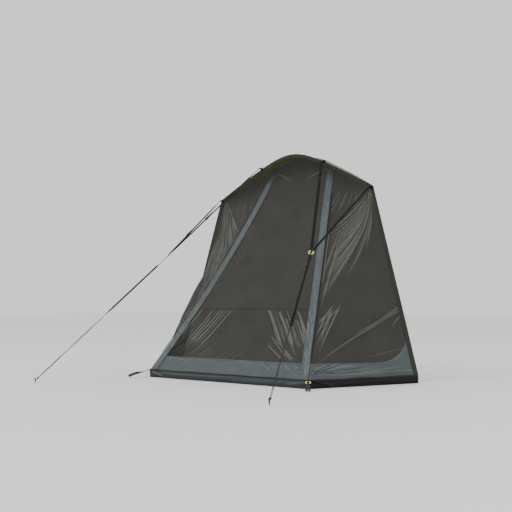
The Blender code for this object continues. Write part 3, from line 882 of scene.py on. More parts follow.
def make_front_skirt():
    draw = np.random.default_rng(31)
    a, b = grid(-1, 1, 321, 0.0, SKIRT_SHARE, 33)
    creases = []
    for side, count in ((1, 9), (-1, 4)):
        for i in range(count):
            share = i / count
            top = (side * mix(0.70, 0.27, share), 0.136)
            low = (top[0] + side * mix(0.03, 0.14, share), mix(0.085, 0.068, share))
            creases += fan(draw, top, [low], 0.0038, 0.0030, 0.02, shade=0.50, sharp=0.05, spread=1.4)
    for x, reach, shade in ((-0.72, 0.30, 0.35), (0.05, 0.22, 0.22), (-0.35, 0.25, 0.22)):
        creases.append(Crease((x, 0.128), (x + reach, 0.108), 0.008, 0.0026, shade, bow=0.01))
    for x, height, shade, ends in (
        (0.790, 0.0035, 0.5, [(0.64, 0.045), (0.67, 0.075), (0.715, 0.11), (0.60, 0.030)]),
        (-0.790, 0.0030, 0.35, [(-0.60, 0.040), (-0.67, 0.085), (-0.64, 0.025)]),
    ):
        creases += fan(draw, (x, 0.010), ends, 0.0015, height, 0.005, shade=shade, spread=4.0, sharp=0.12)
    quiet = clear_of_corner_tapes(a, b)
    cloth = Cloth(front_point, a, b, front_metric, creases, draw, 0.0022, 0.30, 0.012, quiet)
    cloth.add("skirt_front_cloth", "skirt", "front_skirt", "tub_front_cloth", thickness=CLOTH_THICKNESS)


def make_side_skirt(side):
    """A side skirt: creases fan from the front corner, and its gusset rises at the rear."""
    draw = np.random.default_rng(33 + side)
    a, w = grid(0, 1, 221, 0, 1, 61)
    creases = []
    for z, width, height, scatter, shade, spread, ends in (
        (0.050, 0.0018, 0.0052, 0.006, 0.62, 5.0,
         [(0.16, 0.150), (0.25, 0.152), (0.36, 0.148), (0.42, 0.135), (0.46, 0.118), (0.60, 0.100)]),
        (0.036, 0.0018, 0.0042, 0.006, 0.50, 5.0,
         [(0.50, 0.086), (0.78, 0.078), (0.88, 0.060), (0.80, 0.040), (0.07, 0.140)]),
        (0.044, 0.0014, 0.0036, 0.008, 0.42, 4.5,
         [(0.10, 0.145), (0.31, 0.155), (0.52, 0.135), (0.68, 0.115), (0.38, 0.090), (0.60, 0.060),
          (0.85, 0.095)]),
    ):
        creases += fan(draw, (0.006, z), ends, width, height, scatter, shade=shade, spread=spread, sharp=0.12)
    creases.append(Crease((0.95, 0.055), (0.25, 0.050), 0.007, 0.004, 0.40))
    creases.append(Crease((0.95, 0.030), (0.35, 0.028), 0.005, 0.004, 0.30))
    creases.append(Crease((0.70, 0.16), (0.90, 0.42), 0.016, 0.003, 0.15))
    b = w * gusset_top(a)
    cloth = Cloth(side_point, a, b, side_metric, creases, draw, 0.0025, 0.35, 0.012, clear_of_leg_edge(a, b))
    cloth.add("skirt_side_cloth{}", "skirt", "side_skirt{}", "tub_side_cloth{}", side, CLOTH_THICKNESS)


# ---------------------------------------------------------------- net walls


def make_lower_net():
    """The lower front net: creases fan from its middle seam down to both corners."""
    draw = np.random.default_rng(41)
    a, b = grid(-1, 1, 401, SKIRT_SHARE, MIDDLE_SEAM_SHARE, 121)
    creases = []
    for side, count, tops, feet, drop in (
        (1, 13, (0.15, 0.47), (0.46, 0.69), (0.24, 0.30)),
        (-1, 11, (0.19, 0.62), (0.39, 0.72), (0.20, 0.36)),
    ):
        for share in np.linspace(0, 1, count):
            top = np.array((side * mix(*tops, share), 0.648)) + draw.uniform(-0.012, 0.012, 2)
            foot = np.array((side * mix(*feet, share), mix(*drop, share))) + draw.uniform(-0.022, 0.022, 2)
            top = mix(top, foot, draw.uniform(0.0, 0.25) if draw.uniform() < 0.4 else 0.0)
            size = draw.uniform(0.55, 1.3)
            creases.append(Crease(top, foot, 0.0052 * size, 0.0062 * size, size, 1.6, 0.006))
    for x0, low0, x1, low1 in (
        (0.29, 0.40, 0.56, 0.16), (0.31, 0.30, 0.52, 0.155), (0.47, 0.26, 0.59, 0.16),
        (0.35, 0.50, 0.64, 0.18), (0.49, 0.45, 0.66, 0.25), (0.40, 0.33, 0.62, 0.155),
        (-0.44, 0.36, -0.66, 0.175), (-0.30, 0.30, -0.47, 0.16), (-0.38, 0.40, -0.60, 0.17),
        (-0.24, 0.27, -0.36, 0.16), (-0.52, 0.44, -0.72, 0.19),
    ):
        size = draw.uniform(0.7, 1.2)
        creases.append(Crease((x0, low0), (x1, low1), 0.0045 * size, 0.0050 * size, 0.75 * size, 1.4))
    for x in (-0.32, -0.26, -0.13, -0.06, 0.02):
        creases.append(Crease((x, 0.155), (x + 0.10, 0.240), 0.0050, 0.0035, 0.42))
    quiet = clear_of_corner_tapes(a, b)
    cloth = Cloth(front_point, a, b, front_metric, creases, draw, 0.004, 0.45, quiet=quiet)
    cloth.add("net_front_lower", "mesh", "front_mesh_lower", "skirt_front_cloth")


def make_upper_net():
    """The upper front net, drawn tight, with short puckers beside the tapes."""
    draw = np.random.default_rng(43)
    a, b = grid(-1, 1, 241, MIDDLE_SEAM_SHARE, 1.0, 321)
    creases = []
    for side in SIDES:
        for _ in range(9):
            height = draw.uniform(0.80, 2.02)
            edge = float(CORNER.point(height / CORNER.length)[0]) - 0.080
            reach, drop = draw.uniform(0.05, 0.16), draw.uniform(0.05, 0.20)
            start, end = (side * edge, height), (side * (edge - reach), height - drop)
            creases.append(Crease(start, end, 0.0045, 0.0025, draw.uniform(0.06, 0.20), 1.8))
        creases.append(Crease((side * 0.30, 2.10), (side * 0.06, 1.93), 0.006, 0.0035, 0.45, 1.3))
    quiet = clear_of_corner_tapes(a, b)
    cloth = Cloth(front_point, a, b, front_metric, creases, draw, 0.006, 0.60, quiet=quiet)
    cloth.add("net_front_upper", "mesh", "front_mesh_upper", "eave_cloth")


def side_creases(draw):
    """Folds from the shoulder to the front corner, and from the leg to the corner's foot."""
    shoulder = (0.498, 2.085)
    creases = []
    for start, ends, width, height, scatter, spread, shade, sharp in (
        (shoulder, [(0.004, low) for low in np.linspace(1.42, 0.70, 14)],
         0.0028, 0.0065, 0.012, 3.6, 0.72, 0.08),
        (shoulder, [(0.055, 1.13), (0.095, 1.10), (0.13, 1.25), (0.18, 1.38), (0.20, 1.50), (0.27, 1.47),
                    (0.24, 1.58), (0.33, 1.62), (0.16, 0.95), (0.22, 1.20), (0.10, 1.32), (0.30, 1.30)],
         0.0030, 0.0070, 0.012, 3.4, 0.68, 0.08),
        ((0.100, 1.42), [(0.012, 0.86), (0.014, 0.76), (0.012, 0.70), (0.020, 0.62), (0.030, 0.92),
                         (0.008, 1.00)],
         0.0034, 0.0060, 0.110, 2.2, 0.85, 0.10),
        ((0.135, 0.67), [(0.006, 0.53), (0.008, 0.49), (0.018, 0.38), (0.014, 0.28), (0.055, 0.32),
                         (0.060, 0.24), (0.030, 0.43), (0.085, 0.40)],
         0.0050, 0.0070, 0.045, 1.1, 1.0, 0.20),
    ):
        creases += fan(draw, start, ends, width, height, scatter, spread=spread, shade=shade, sharp=sharp)
    creases += [
        Crease((0.700, 0.785), (0.015, 0.100), 0.016, 0.010, 0.42, 0.55, sharp=0.04),
        Crease((0.700, 0.730), (0.150, 0.255), 0.011, 0.008, 0.36, 0.6, sharp=0.04),
        Crease((0.660, 0.705), (0.275, 0.410), 0.009, 0.007, 0.45, 0.7),
        Crease((0.685, 0.655), (0.620, 0.520), 0.010, 0.007, 0.55, 0.7),
        Crease((0.790, 0.300), (0.420, 0.190), 0.010, 0.006, 0.28, 0.7),
    ]
    for share in np.linspace(0, 1, 10):
        top = np.array((mix(0.09, 0.42, share), mix(1.88, 2.02, share))) + draw.uniform(-0.025, 0.025, 2)
        drop = draw.uniform(0.8, 1.35)
        creases.append(Crease(top, top - (0.10 * drop, 0.25 * drop), 0.0050, 0.0045, 0.32, 1.4, 0.006))
    return creases


def make_side_net(side):
    draw = np.random.default_rng(47 + side)
    a, w = grid(0, 1, 171, 0, 1, 381)
    b = mix(gusset_top(a), 1.0, w)
    creases, quiet = side_creases(draw), clear_of_leg_edge(a, b)
    cloth = Cloth(side_point, a, b, side_metric, creases, draw, 0.005, 0.50, quiet=quiet)
    cloth.add("net_side{}", "mesh", "side_mesh{}", "skirt_side_cloth{}", side)


def make_seam_tape():
    """The narrow tape over the seam between the two front nets, slightly gathered."""
    s = np.linspace(-0.90, 0.90, 260)
    normals = normals_of(front_point, s, MIDDLE_SEAM_SHARE)
    line = front_point(s, MIDDLE_SEAM_SHARE) + normals * (0.0016 + 0.0008 * np.sin(s * 61.0)[:, None])
    line[:, 2] += 0.0012 * np.sin(s * 47.0)
    up = unit(front_point(s, MIDDLE_SEAM_SHARE + 0.01) - front_point(s, MIDDLE_SEAM_SHARE - 0.01))
    tape = ribbon(line, up, 0.012, 0.0010, 0.0003, 4)
    add_piece("net_seam_tape", tape, "binding", "mesh_seam_tape")
    rows = [stitches(line + up * d + normals * 0.0006, normals) for d in (-0.004, 0.004)]
    add_rows("net_seam_stitching", rows)


# ---------------------------------------------------------------- tapes, eave and edges


def corner_tape_point(c, t):
    """The corner tape on the front wall: c from its inner to its outer edge, t up the wall."""
    c, t = np.broadcast_arrays(np.asarray(c, float), np.asarray(t, float))
    x = CORNER.point(t)[..., 0]
    s = (x - TAPE_INSET - TAPE_WIDTH * (1 - c)) / x
    return front_point(s, t) + normals_of(front_point, s, t) * 0.0032


def make_corner_tape(side):
    """The wide tape on the front wall beside its corner, with folded hems and puckers."""
    draw = np.random.default_rng(53 + side)
    c, t = grid(0, 1, 29, 0.002, TAPE_END + 0.010, 421)
    creases = []
    for _ in range(46):
        low = draw.uniform(0.02, 2.02)
        lean = draw.choice((-1, 1)) * draw.uniform(0.5, 1.0)
        length = draw.uniform(0.035, 0.11)
        start = np.array((draw.uniform(0.012, 0.058), low))
        strong = 1.0 if low < 0.75 or low > 1.92 else 0.45
        creases.append(Crease(start, start + (0.024 * lean, length), 0.0036, 0.0012 * strong, 0.60 * strong))
    creases.append(Crease((0.058, 0.03), (0.052, 0.62), 0.0022, 0.0009, 0.75))
    creases.append(Crease((0.046, 0.02), (0.034, 0.34), 0.0022, 0.0008, 0.55))
    cloth = Cloth(corner_tape_point, c, t, strip_metric(TAPE_WIDTH), creases, draw, 0.0005, 0.10, 0.006)
    cloth.fold_edges(c, 0.0010)
    made = add_piece(
        "corner_tape_cloth{}", cloth.shape(), "tape", "corner_tape{}", side=side, thickness=TAPE_THICKNESS
    )
    rows = []
    for share in (0.09, 0.91):
        normals = normals_of(corner_tape_point, share, t[:, 0])
        line = corner_tape_point(share, t[:, 0]) + normals * 0.0020
        rows.append(stitches(line, normals, 0.009, 0.0062, 0.0013))
    add_rows("corner_tape_stitching{}", rows, "thread", side=side)


def leg_tape_point(c, v):
    """The binding beside the arch's leg: c from its inner to its outer edge, v up the wall."""
    u = 1 - LEG_TAPE_WIDTH / side_width(v) * (1 - c)
    return side_point(u, v) + normals_of(side_point, u, v) * 0.0045


def make_leg_edge(side):
    """The binding along the arch's leg, and the half zip that joins it to the tent."""
    draw = np.random.default_rng(61 + side)
    c, rows = grid(0, 1, 15, 0.0, TAPE_END + 0.013, 300)
    cloth = Cloth(leg_tape_point, c, rows, strip_metric(LEG_TAPE_WIDTH), [], draw, 0.0006, 0.12, 0.008)
    cloth.fold_edges(c, 0.0008)
    add_piece(
        "leg_binding{}", cloth.shape(), "binding", "leg_zip_tape{}", side=side,
        thickness=TAPE_THICKNESS,
    )
    v = rows[:, 0]
    line = leg_tape_point(0.97, v)
    normals = normals_of(side_point, 0.98, v)
    across = unit(line - leg_tape_point(0.12, v))
    teeth = zip_teeth(line + across * 0.0015, across, normals, 0.0040, EDGE_TOOTH)
    add_piece("leg_zip_coil{}", teeth, "zip", side=side)
    rows = [stitches(leg_tape_point(c, v) + normals * 0.0012, normals) for c in (0.12, 0.78)]
    add_rows("leg_stitching{}", rows, side=side)


def make_crown():
    """The crown's zip tape with its coil, and the eave behind it."""
    reach = SHOULDER[0] - 0.004
    edge = arch_edge(np.linspace(-reach, reach, 300))
    down = unit(np.cross(unit(np.gradient(edge, axis=0)), FRONT))
    down *= np.sign(-down[:, 2:])
    middle = edge + down * (CROWN_TAPE_WIDTH / 2) + FRONT * 0.0034
    tape = ribbon(middle, down, CROWN_TAPE_WIDTH, 0.0010, 0.0004, 8)
    add_piece("crown_binding", tape, "binding", "crown_zip_tape")
    teeth = zip_teeth(edge + FRONT * 0.0042 + down * 0.0020, down, FRONT, 0.0040, EDGE_TOOTH)
    add_piece("crown_zip_coil", teeth, "zip")
    rows = [stitches(edge + down * d + FRONT * 0.0044, FRONT) for d in (0.008, 0.022)]
    add_rows("crown_stitching", rows)

    a, b = grid(-1, 1, 261, 0, 1, 41)
    leans = ((-0.5, 0.08), (-0.32, 0.07), (-0.1, 0.05), (0.12, -0.06), (0.3, -0.05), (0.5, -0.09))
    creases = [Crease((x, 0.01), (x + lean, 0.19), 0.009, 0.003, 0.10, 1.4) for x, lean in leans]
    draw = np.random.default_rng(71)
    cloth = Cloth(eave_point, a, b, lambda a, b, base: base[..., :2], creases, draw, 0.003, 0.30, 0.02)
    cloth.add("eave_cloth", "eave", "eave_panel", "crown_binding", thickness=CLOTH_THICKNESS)


def add_hem(name, surface, a, b, side=0):
    """A narrow folded hem along a line on a wall, with its row of stitches."""
    line, normals = surface(a, b), normals_of(surface, a, b)
    up = np.cross(normals, unit(np.gradient(line, axis=0)))
    add_piece(name, ribbon(line + normals * 0.0016, up, 0.0085, 0.0009, 0.0003, 4), "tape", side=side)
    add_rows(name + "_stitching", [stitches(line + normals * 0.0022, normals)], "thread", side=side)


def make_hems():
    add_hem("skirt_hem_front", front_point, np.linspace(-0.91, 0.91, 260), SKIRT_SHARE)
    u = np.linspace(0.001, 0.955, 220)
    for side in SIDES:
        add_hem("skirt_hem{}", side_point, u, gusset_top(u), side)


# ---------------------------------------------------------------- zips


def make_zip(side):
    """The door zip along the corner: its chain with end stops, its slider and its pull."""
    t = np.linspace(CHAIN_START, CHAIN_END, 400)
    across, tangent, outward = CORNER.axes(t)
    line = CORNER.point(t, CHAIN_ALONG, CHAIN_LIFT)
    teeth = zip_teeth(line, across, outward, 0.0030, (0.0058, 0.0018, 0.0028), 0.0011)
    for end in (0, -1):
        axes = (across, tangent[end], outward[end])
        teeth.join(block(line[end], axes, (0.0085, 0.0042, 0.0040), 0.0009))
    add_piece("zip_coil{}", teeth, "zip", "zip_chain{}", side=side)
    under = line - outward * 0.0014
    add_piece("zip_tape{}", ribbon(under, across, 0.016, 0.0008, 0.0, 6), "binding", side=side)
    rows = [stitches(under + across * d + outward * 0.0005, outward) for d in (-0.0068, 0.0068)]
    add_rows("zip_stitching{}", rows, side=side)

    axes = across, tangent, outward = CORNER.axes(SLIDER_SHARE)
    middle = CORNER.point(SLIDER_SHARE, CHAIN_ALONG, CHAIN_LIFT)
    slider = blocks(middle, axes, [
        ((0, 0, 0.0033), (0.0128, 0.0185, 0.0014), 0.0005, 2, 0.74),
        ((0, 0, -0.0033), (0.0128, 0.0185, 0.0012), 0.0005, 2, 0.74),
        ((-0.0055, -0.0035, 0), (0.0016, 0.0105, 0.0072), 0.0004),
        ((0.0055, -0.0035, 0), (0.0016, 0.0105, 0.0072), 0.0004),
        ((0, 0.0070, 0), (0.0032, 0.0042, 0.0070), 0.0005),
    ])
    bridge = arc(middle + outward * 0.0036, tangent * 0.0050, outward * 0.0030, np.linspace(0, math.pi, 12))
    slider.join(tube(bridge, 0.0008, 8))
    add_piece("zip_slider_body{}", slider, "slider", "zip_slider{}", "zip_slider{}", side)

    hinge = middle + outward * 0.0055
    eye = arc(hinge - tangent * 0.0036, tangent * 0.0034, across * 0.0032, full_turn(20))
    pull = tube(eye, 0.0008, 8, closed=True)
    ribs = [((0, -0.0225 - 0.0018 * i, 0.0009), (0.0050, 0.0007, 0.0006), 0.0002, 1) for i in range(5)]
    pull.join(blocks(hinge, axes, [((0, -0.0195, 0.0002), (0.0066, 0.0260, 0.0013), 0.0005), *ribs]))
    add_piece("zip_pull_tab{}", pull, "slider", "zip_pull{}", "zip_pull{}", side)


# ---------------------------------------------------------------- guy lines


def ring_shape(centre, normal):
    """A moulded ring with a fine parting line round its outside."""
    one = unit(np.cross(normal, UP))
    two, outer = np.cross(normal, one), RING_RADIUS + RING_WIRE
    wire = tube(arc(centre, one * RING_RADIUS, two * RING_RADIUS, full_turn(72)), RING_WIRE, 20, closed=True)
    return wire.join(tube(arc(centre, one * outer, two * outer, full_turn(72)), 0.00035, 6, closed=True))


def wrap(centre, way, normal, radius, back):
    """A path that comes along way, goes round a bar at centre and back, for webbing on a ring."""
    bend = arc(centre, way * radius, -normal * radius, np.linspace(-math.pi / 2, math.pi / 2, 13))
    s = np.linspace(0.004, back, 9)[:, None]
    return np.concatenate([bend, centre - way * s - normal * mix(radius, 0.0022, ease(s / 0.030))])


def webbing_path(start, wire, way, normal, count, rise):
    """Webbing from start to a ring's wire, up onto it over the distances in rise, and round it."""
    lead, radius = rise[-1], RING_WIRE + 0.0012
    straight = np.linspace(start, wire - way * lead, count)
    rise = rise[:, None]
    over = wire - way * (lead - rise) + normal * radius * ease(rise / lead)
    return np.concatenate([straight, over, wrap(wire, way, normal, radius, 0.050)])


def width_along(path, wire):
    """Webbing bunches where it goes round a ring."""
    distance = np.linalg.norm(path - wire, axis=1)
    return mix(0.008, WEBBING_WIDTH, ease((distance - 0.016) / 0.034))


def rolled(across, out, turn):
    """The width and the face of webbing after it has turned about its own length."""
    return across * np.cos(turn) + out * np.sin(turn), out * np.cos(turn) - across * np.sin(turn)


def box_stitch(centre, way, across, normal, length=0.020, width=0.017):
    """A sewn box with its cross, on both faces of a doubled webbing end."""
    signs = ((-1, -1), (1, -1), (1, 1), (-1, 1))
    corners = [centre + way * length / 2 * y + across * width / 2 * x for x, y in signs]
    rows = []
    for face in (normal, -normal):
        for i, j in ((0, 1), (1, 2), (2, 3), (3, 0), (0, 2), (1, 3)):
            line = np.linspace(corners[i], corners[j], 5) + face * 0.0019
            rows.append(stitches(line, face, 0.0032, 0.0024, 0.0008, 0.0003))
    return joined(rows)


def bar_tack(centre, across, half, face, *thread):
    """A short sewn bar across webbing."""
    return stitches(np.linspace(centre - across * half, centre + across * half, 6), face, *thread)


def buckle_shape(centre, axes):
    """A ladder-lock adjuster: two rails, three bars and a ribbed thumb tab."""
    rails = [((x, 0, 0), (0.0044, 0.0260, 0.0066), 0.0014, 3) for x in (-0.0158, 0.0158)]
    bars = ((-0.0112, 0.0036, 0.0006), (0.0, 0.0034, 0.0030), (0.0112, 0.0036, 0.0006))
    bars = [((0, y, z), (0.0300, thick, 0.0026), 0.0009) for y, thick, z in bars]
    under = [((0, y, -0.0026), (0.0300, 0.0034, 0.0018), 0.0006) for y in (-0.0112, 0.0112)]
    tab = ((0, 0.0150, 0.0022), (0.0290, 0.0080, 0.0026), 0.0009, 2, 0.86)
    ribs = [((0, y, 0.0036), (0.0220, 0.0008, 0.0008), 0.0002, 1) for y in (0.0140, 0.0160, 0.0180)]
    return blocks(centre, axes, [*rails, *bars, *under, tab, *ribs])


def make_guy_leg(part, side, top, normal, share):
    """One webbing leg of the V, with its buckle and its loop on the arch."""
    way = unit(GUY_RING - top)
    across = unit(np.cross(way, normal))
    out = unit(np.cross(across, way))
    wire = GUY_RING - way * RING_RADIUS
    path = webbing_path(top, wire, way, out, 60, np.linspace(0.005, 0.045, 10))
    gone = np.linalg.norm(path - top, axis=1) / np.linalg.norm(GUY_RING - top)
    turn = LEG_ROLL * ease(gone / 0.16) * ease((0.975 - gone) / 0.09)
    strap = ribbon(path, rolled(across, out, turn[:, None])[0], width_along(path, wire))
    strap.join(tube([top + across * x for x in (-0.0125, -0.004, 0.004, 0.0125)], 0.0030, 14))
    fold = mix(top, GUY_RING, np.linspace(0.001, 0.036, 12)[:, None]) - out * 0.0019
    strap.join(ribbon(fold, across, WEBBING_WIDTH))
    add_piece(f"guy_strap_{part}", strap, "webbing", f"guy_leg_{part}", GUY_BODY, side)
    sewn = [box_stitch(wire - way * 0.036 - out * 0.0010, way, across, out, 0.018, 0.012),
            box_stitch(top + way * 0.026 - out * 0.0010, way, across, out)]
    add_rows(f"guy_strap_stitching_{part}", sewn, body=GUY_BODY, side=side)
    make_buckle(part, side, mix(top, GUY_RING, share), way, *rolled(across, out, LEG_ROLL))
    make_guy_loop(part, side, top, across)


def make_buckle(part, side, middle, way, across, out):
    """A buckle on its leg, and the free tail of webbing that comes out of it."""
    lock = f"guy_buckle_{part}"
    add_piece(f"guy_adjuster_{part}", buckle_shape(middle, (across, -way, out)), "buckle", lock, lock, side)
    s = np.linspace(0.004, 0.075, 20)[:, None]
    line = middle - way * s + out * mix(0.0042, 0.0028, ease((s - 0.012) / 0.05))
    add_piece(f"guy_tail_{part}", ribbon(line, across, WEBBING_WIDTH * 0.96), "webbing", None, lock, side)


def make_guy_loop(part, side, top, across):
    """The short loop that holds a leg, and its sewn patch on the arch."""
    root = np.array((top[0], LOOP_ROOT_Y, top[2] + LOOP_RISE))
    back = unit(root - top)
    across = unit(across - back * (across @ back))
    line, apart = np.linspace(top + back * 0.0036, root, 12), np.cross(across, back) * 0.0011
    layers = [ribbon(line + lift, across, WEBBING_WIDTH) for lift in (-apart, apart)]
    patch = root - FRONT * 0.0012
    slope = unit(arch_edge(top[0] + 0.01) - arch_edge(top[0] - 0.01))
    fall = unit(np.cross(slope, FRONT))
    fall = fall * np.sign(-fall[2])
    layers.append(ribbon(patch + fall * np.linspace(-0.010, 0.020, 8)[:, None], slope, WEBBING_WIDTH))
    add_piece(f"guy_root_{part}", joined(layers), "webbing", f"guy_loop_{part}", side=side)
    bars = [bar_tack(patch + fall * d + FRONT * 0.0012, slope, 0.011, FRONT, 0.0022, 0.0026, 0.0012, 0.0003)
            for d in (0.006, 0.016)]
    add_rows(f"guy_root_stitching_{part}", bars, side=side)


def make_lower_strap(side, split, down, across, out):
    """The webbing from the ring to the cord, with a reflective tracer along it."""
    wire, count = GUY_RING + down * RING_RADIUS, 80
    path = webbing_path(split - down * 0.005, wire, -down, out, count, np.linspace(0.004, 0.040, 9))
    gone = np.arange(len(path)) / count
    turn = LOWER_ROLL * ease((gone - 0.08) / 0.15) * ease((0.985 - gone) / 0.07)
    wide, face = rolled(across, out, turn[:, None])
    strap = ribbon(path, wide, width_along(path, wire))
    fold = split - down * np.linspace(0.003, 0.060, 12)[:, None] - out * 0.0022
    strap.join(ribbon(fold, across, WEBBING_WIDTH))
    strap.join(tube([split - down * 0.004 + across * x for x in (-0.009, -0.003, 0.003, 0.009)], 0.0030, 14))
    webbing = add_piece("guy_strap_lower{}", strap, "webbing", "guy_webbing{}", GUY_BODY, side)
    sewn = [box_stitch(wire + down * 0.036 - out * 0.0010, down, across, out, 0.018, 0.012),
            box_stitch(split - down * 0.030 - out * 0.0010, down, across, out)]
    stitching = add_rows("guy_strap_lower_stitching{}", sewn, body=GUY_BODY, side=side)
    line = (path + wide * 0.0085 + face * 0.0010)[:count]
    rows = [stitches(line, face[:count], 0.016, 0.0085, 0.0016, 0.0003)]
    tracer = add_rows("guy_strap_tracer{}", rows, "tracer", GUY_BODY, side)


def make_peg_and_cord(side, split, down, across, out):
    """The hooked peg, and the doubled cord with the knot and eye that hold it to the peg."""
    away = unit(down * (1, 1, 0))
    foot = GUY_PEG * (1, 1, 0) + UP * (PEG_FOOT + 0.0008) - away * PEG_LEAN
    neck = GUY_PEG + UP * PEG_NECK
    hook_angles = np.linspace(0, PEG_HOOK_ANGLE, 16)[1:]
    hook = arc(neck + away * PEG_HOOK_RADIUS, -away * PEG_HOOK_RADIUS, UP * PEG_HOOK_RADIUS, hook_angles)
    rod = tube(np.concatenate([np.linspace(foot, neck, 8), hook]), PEG_RADIUS, 16, round_ends=True)
    peg = add_piece("guy_peg_rod{}", rod, "peg", "guy_peg{}", GUY_BODY, side)

    start, end = split + down * 0.0010, GUY_PEG - down * (PEG_RADIUS + 2 * CORD_RADIUS)
    share = np.linspace(0, 1, 140)[:, None]
    line = mix(start, end, share)
    apart = rolled(across, out, 0.6 * np.sin(2 * math.pi * share))[0]
    apart = apart * mix(0.0050, 0.0040, ease(share / 0.08))
    strands = [tube(line + offset, STRAND_RADIUS, 8) for offset in (-apart, apart)]
    round_peg = PEG_RADIUS + 0.0015
    eye_angles = np.linspace(0.32 * math.pi, 1.68 * math.pi, 24)
    near = -away * round_peg - UP * 0.002
    eye = arc(GUY_PEG - UP * 0.001, near, np.cross(UP, away) * round_peg, eye_angles)
    ends = [[end + across * x, mix(end, tip, 0.5), tip] for x, tip in ((0.0039, eye[0]), (-0.0039, eye[-1]))]
    hitch = [tube(path, 0.0020, 8, round_ends=True) for path in (eye, *ends)]
    for i in range(4):
        knot = mix(start, end, 0.965) + down * 0.0032 * i
        coil = arc(knot, across * KNOT_RADIUS, out * 0.7 * KNOT_RADIUS + down * 0.0006, full_turn(14))
        hitch.append(tube(coil, 0.0017, 8, closed=True))
    hitch = add_piece("guy_cord_hitch{}", joined(hitch), "cord", None, GUY_BODY, side)
    cord = add_piece("guy_cord_doubled{}", joined(strands), "cord", "guy_cord{}", GUY_BODY, side)


def make_guy(side):
    """A V guy line from the arch to its peg."""
    normal = unit(np.cross(GUY_INNER - GUY_RING, GUY_OUTER - GUY_RING))
    normal = normal * np.sign(normal[2])
    make_guy_leg("inner{}", side, GUY_INNER, normal, BUCKLE_INNER_SHARE)
    make_guy_leg("outer{}", side, GUY_OUTER, normal, BUCKLE_OUTER_SHARE)
    add_piece("guy_ring_moulding{}", ring_shape(GUY_RING, normal), "ring", "guy_ring{}", GUY_BODY, side)
    down = unit(GUY_PEG - GUY_RING)
    across = unit(np.cross(down, normal))
    out = unit(np.cross(across, down))
    split = mix(GUY_RING, GUY_PEG, GUY_CORD_START)
    make_lower_strap(side, split, down, across, out)
    make_peg_and_cord(side, split, down, across, out)


# ---------------------------------------------------------------- corner peg-outs


def make_corner(side):
    """The ring at the tub's front corner, its tab and its strap, and the brace beside them."""
    way = unit(CORNER_STRAP_END - CORNER_RING)
    across = unit(np.array((-way[1], way[0], 0.0)))
    normal = unit(np.cross(across, way))
    ring = ring_shape(CORNER_RING, normal)
    add_piece("corner_ring_moulding{}", ring, "ring", "corner_ring{}", PEGOUT_BODY, side)

    sewn = CORNER_BASE + TAB_SEWN
    tab_way = unit(CORNER_RING - sewn)
    wire = CORNER_RING - tab_way * RING_RADIUS
    out = unit(np.cross(across, tab_way))
    out = out * np.sign(out[2])
    reach = RING_WIRE + 0.0012
    lead = np.array([sewn - tab_way * 0.006, sewn, wire - tab_way * 0.004]) + out * reach
    path = np.concatenate([lead, wrap(wire, tab_way, out, reach, 0.022)])
    widths = np.interp(np.linalg.norm(path - wire, axis=1), [0.004, 0.03], [0.013, 0.022])
    add_piece("corner_tab_webbing{}", ribbon(path, across, widths), "webbing", "corner_tab{}", side=side)

    twist, lift = STRAP_TWIST_AND_LIFT[side]
    wire = CORNER_RING + way * RING_RADIUS
    loop = wrap(wire, -way, normal, RING_WIRE + 0.0010, 0.026)
    length = float(np.linalg.norm(CORNER_STRAP_END - wire))
    gone = np.linspace(0.98, 0.16, 30)[:, None]
    raised = ease((gone - 0.06) / 0.25)
    arch = UP * (0.004 * np.sin(math.pi * np.linspace(0, 1, 30))[:, None] + lift * raised)
    wide = rolled(across, normal, twist * np.concatenate([raised, np.zeros((len(loop), 1))]))[0]
    tails = []
    for x, drop, turn in ((-0.0075, 0.0, -0.04), (0.0075, 0.0012, 0.05)):
        run = wire + (way + across * turn) * gone * length + normal * (0.0032 * (1 - gone) + drop) + arch
        path = np.concatenate([run, loop]) + wide * x * 0.62
        widths = np.interp(np.linalg.norm(path - wire, axis=1), [0.006, 0.05], [0.009, 0.0175])
        tails.append(ribbon(path, wide, widths))
    add_piece("corner_strap_tails{}", joined(tails), "strap", "corner_strap{}", PEGOUT_BODY, side)
    bars = [bar_tack(wire + way * d + normal * 0.0034, across, 0.010, normal, 0.0024, 0.0028, 0.0012, 0.0004)
            for d in (0.020, 0.028)]
    add_rows("corner_strap_stitching{}", bars, body=PEGOUT_BODY, side=side)

    side_line, side_out = side_way()
    start = CORNER_BASE + side_line * 0.006 - UP * 0.006
    end = (CORNER_BASE + side_line * 0.190) * (1, 1, 0) + UP * 0.010
    share = np.linspace(0, 1, 24)[:, None]
    line = mix(start, end, share) + side_out * (0.005 + 0.0085 * np.sin(math.pi * share))
    brace = ribbon(line, np.cross(unit(end - start), side_out), 0.016, 0.0012, 0.0003, 6)
    brace.join(tube(np.linspace(CORNER_BASE * (1, 1, 0.05), CORNER_BASE, 8), 0.0018, 10))
    add_piece("corner_brace{}", brace, "webbing", side=side)


# ---------------------------------------------------------------- floor, light and camera


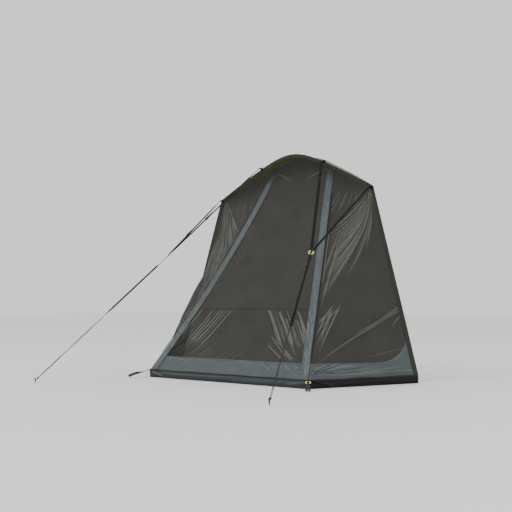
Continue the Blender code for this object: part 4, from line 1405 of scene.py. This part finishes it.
def make_stage():
    """A white floor and sky, three soft lamps and the camera."""
    half, level = 30.0, -0.0005
    mesh = bpy.data.meshes.new("floor")
    corners = [(-half, -half, level), (half, -half, level), (half, half, level), (-half, half, level)]
    mesh.from_pydata(corners, [], [(0, 1, 2, 3)])
    mesh.materials.append(Finish("stage_floor_paint", (0.90, 0.90, 0.90), 0.9).material)
    floor = bpy.data.objects.new("stage_floor", mesh)
    bpy.context.scene.collection.objects.link(floor)

    world = bpy.data.worlds.new("studio")
    bpy.context.scene.world = world
    world.use_nodes = True
    sky = world.node_tree.nodes["Background"]
    sky.inputs["Color"].default_value = (1.0, 1.0, 1.0, 1.0)
    sky.inputs["Strength"].default_value = 1.08

    target = Vector((0.0, 0.0, 0.8))
    for name, place, power, size, colour in (
        ("key", (-3.5, -5.0, 5.0), 110.0, 3.0, (1.0, 0.99, 0.97)),
        ("fill", (5.0, -3.5, 3.0), 60.0, 4.0, (0.96, 0.98, 1.0)),
        ("rim", (1.5, 4.5, 4.0), 30.0, 3.0, (1.0, 1.0, 1.0)),
    ):
        light = bpy.data.lights.new(name, "AREA")
        light.energy, light.size, light.color = power, size, colour
        lamp = bpy.data.objects.new(name, light)
        lamp.location = place
        lamp.rotation_euler = (target - lamp.location).to_track_quat("-Z", "Y").to_euler()
        bpy.context.scene.collection.objects.link(lamp)

    lens = bpy.data.cameras.new("camera")
    lens.sensor_width, lens.lens = 36.0, 57.9
    camera = bpy.data.objects.new("camera", lens)
    camera.location = (4.150, -5.966 + FRAME_SHIFT, 0.637)
    camera.rotation_euler = (math.radians(90 + 3.14), 0.0, math.radians(37.374))
    bpy.context.scene.collection.objects.link(camera)
    bpy.context.scene.camera = camera


def main():
    make_stage()
    make_groundsheet()
    make_tub()
    make_sills()
    make_front_skirt()
    make_lower_net()
    make_upper_net()
    make_seam_tape()
    make_crown()
    make_hems()
    for side in SIDES:
        make_side_skirt(side)
        make_side_net(side)
        make_corner_tape(side)
        make_leg_edge(side)
        make_zip(side)
        make_guy(side)
        make_corner(side)


main()
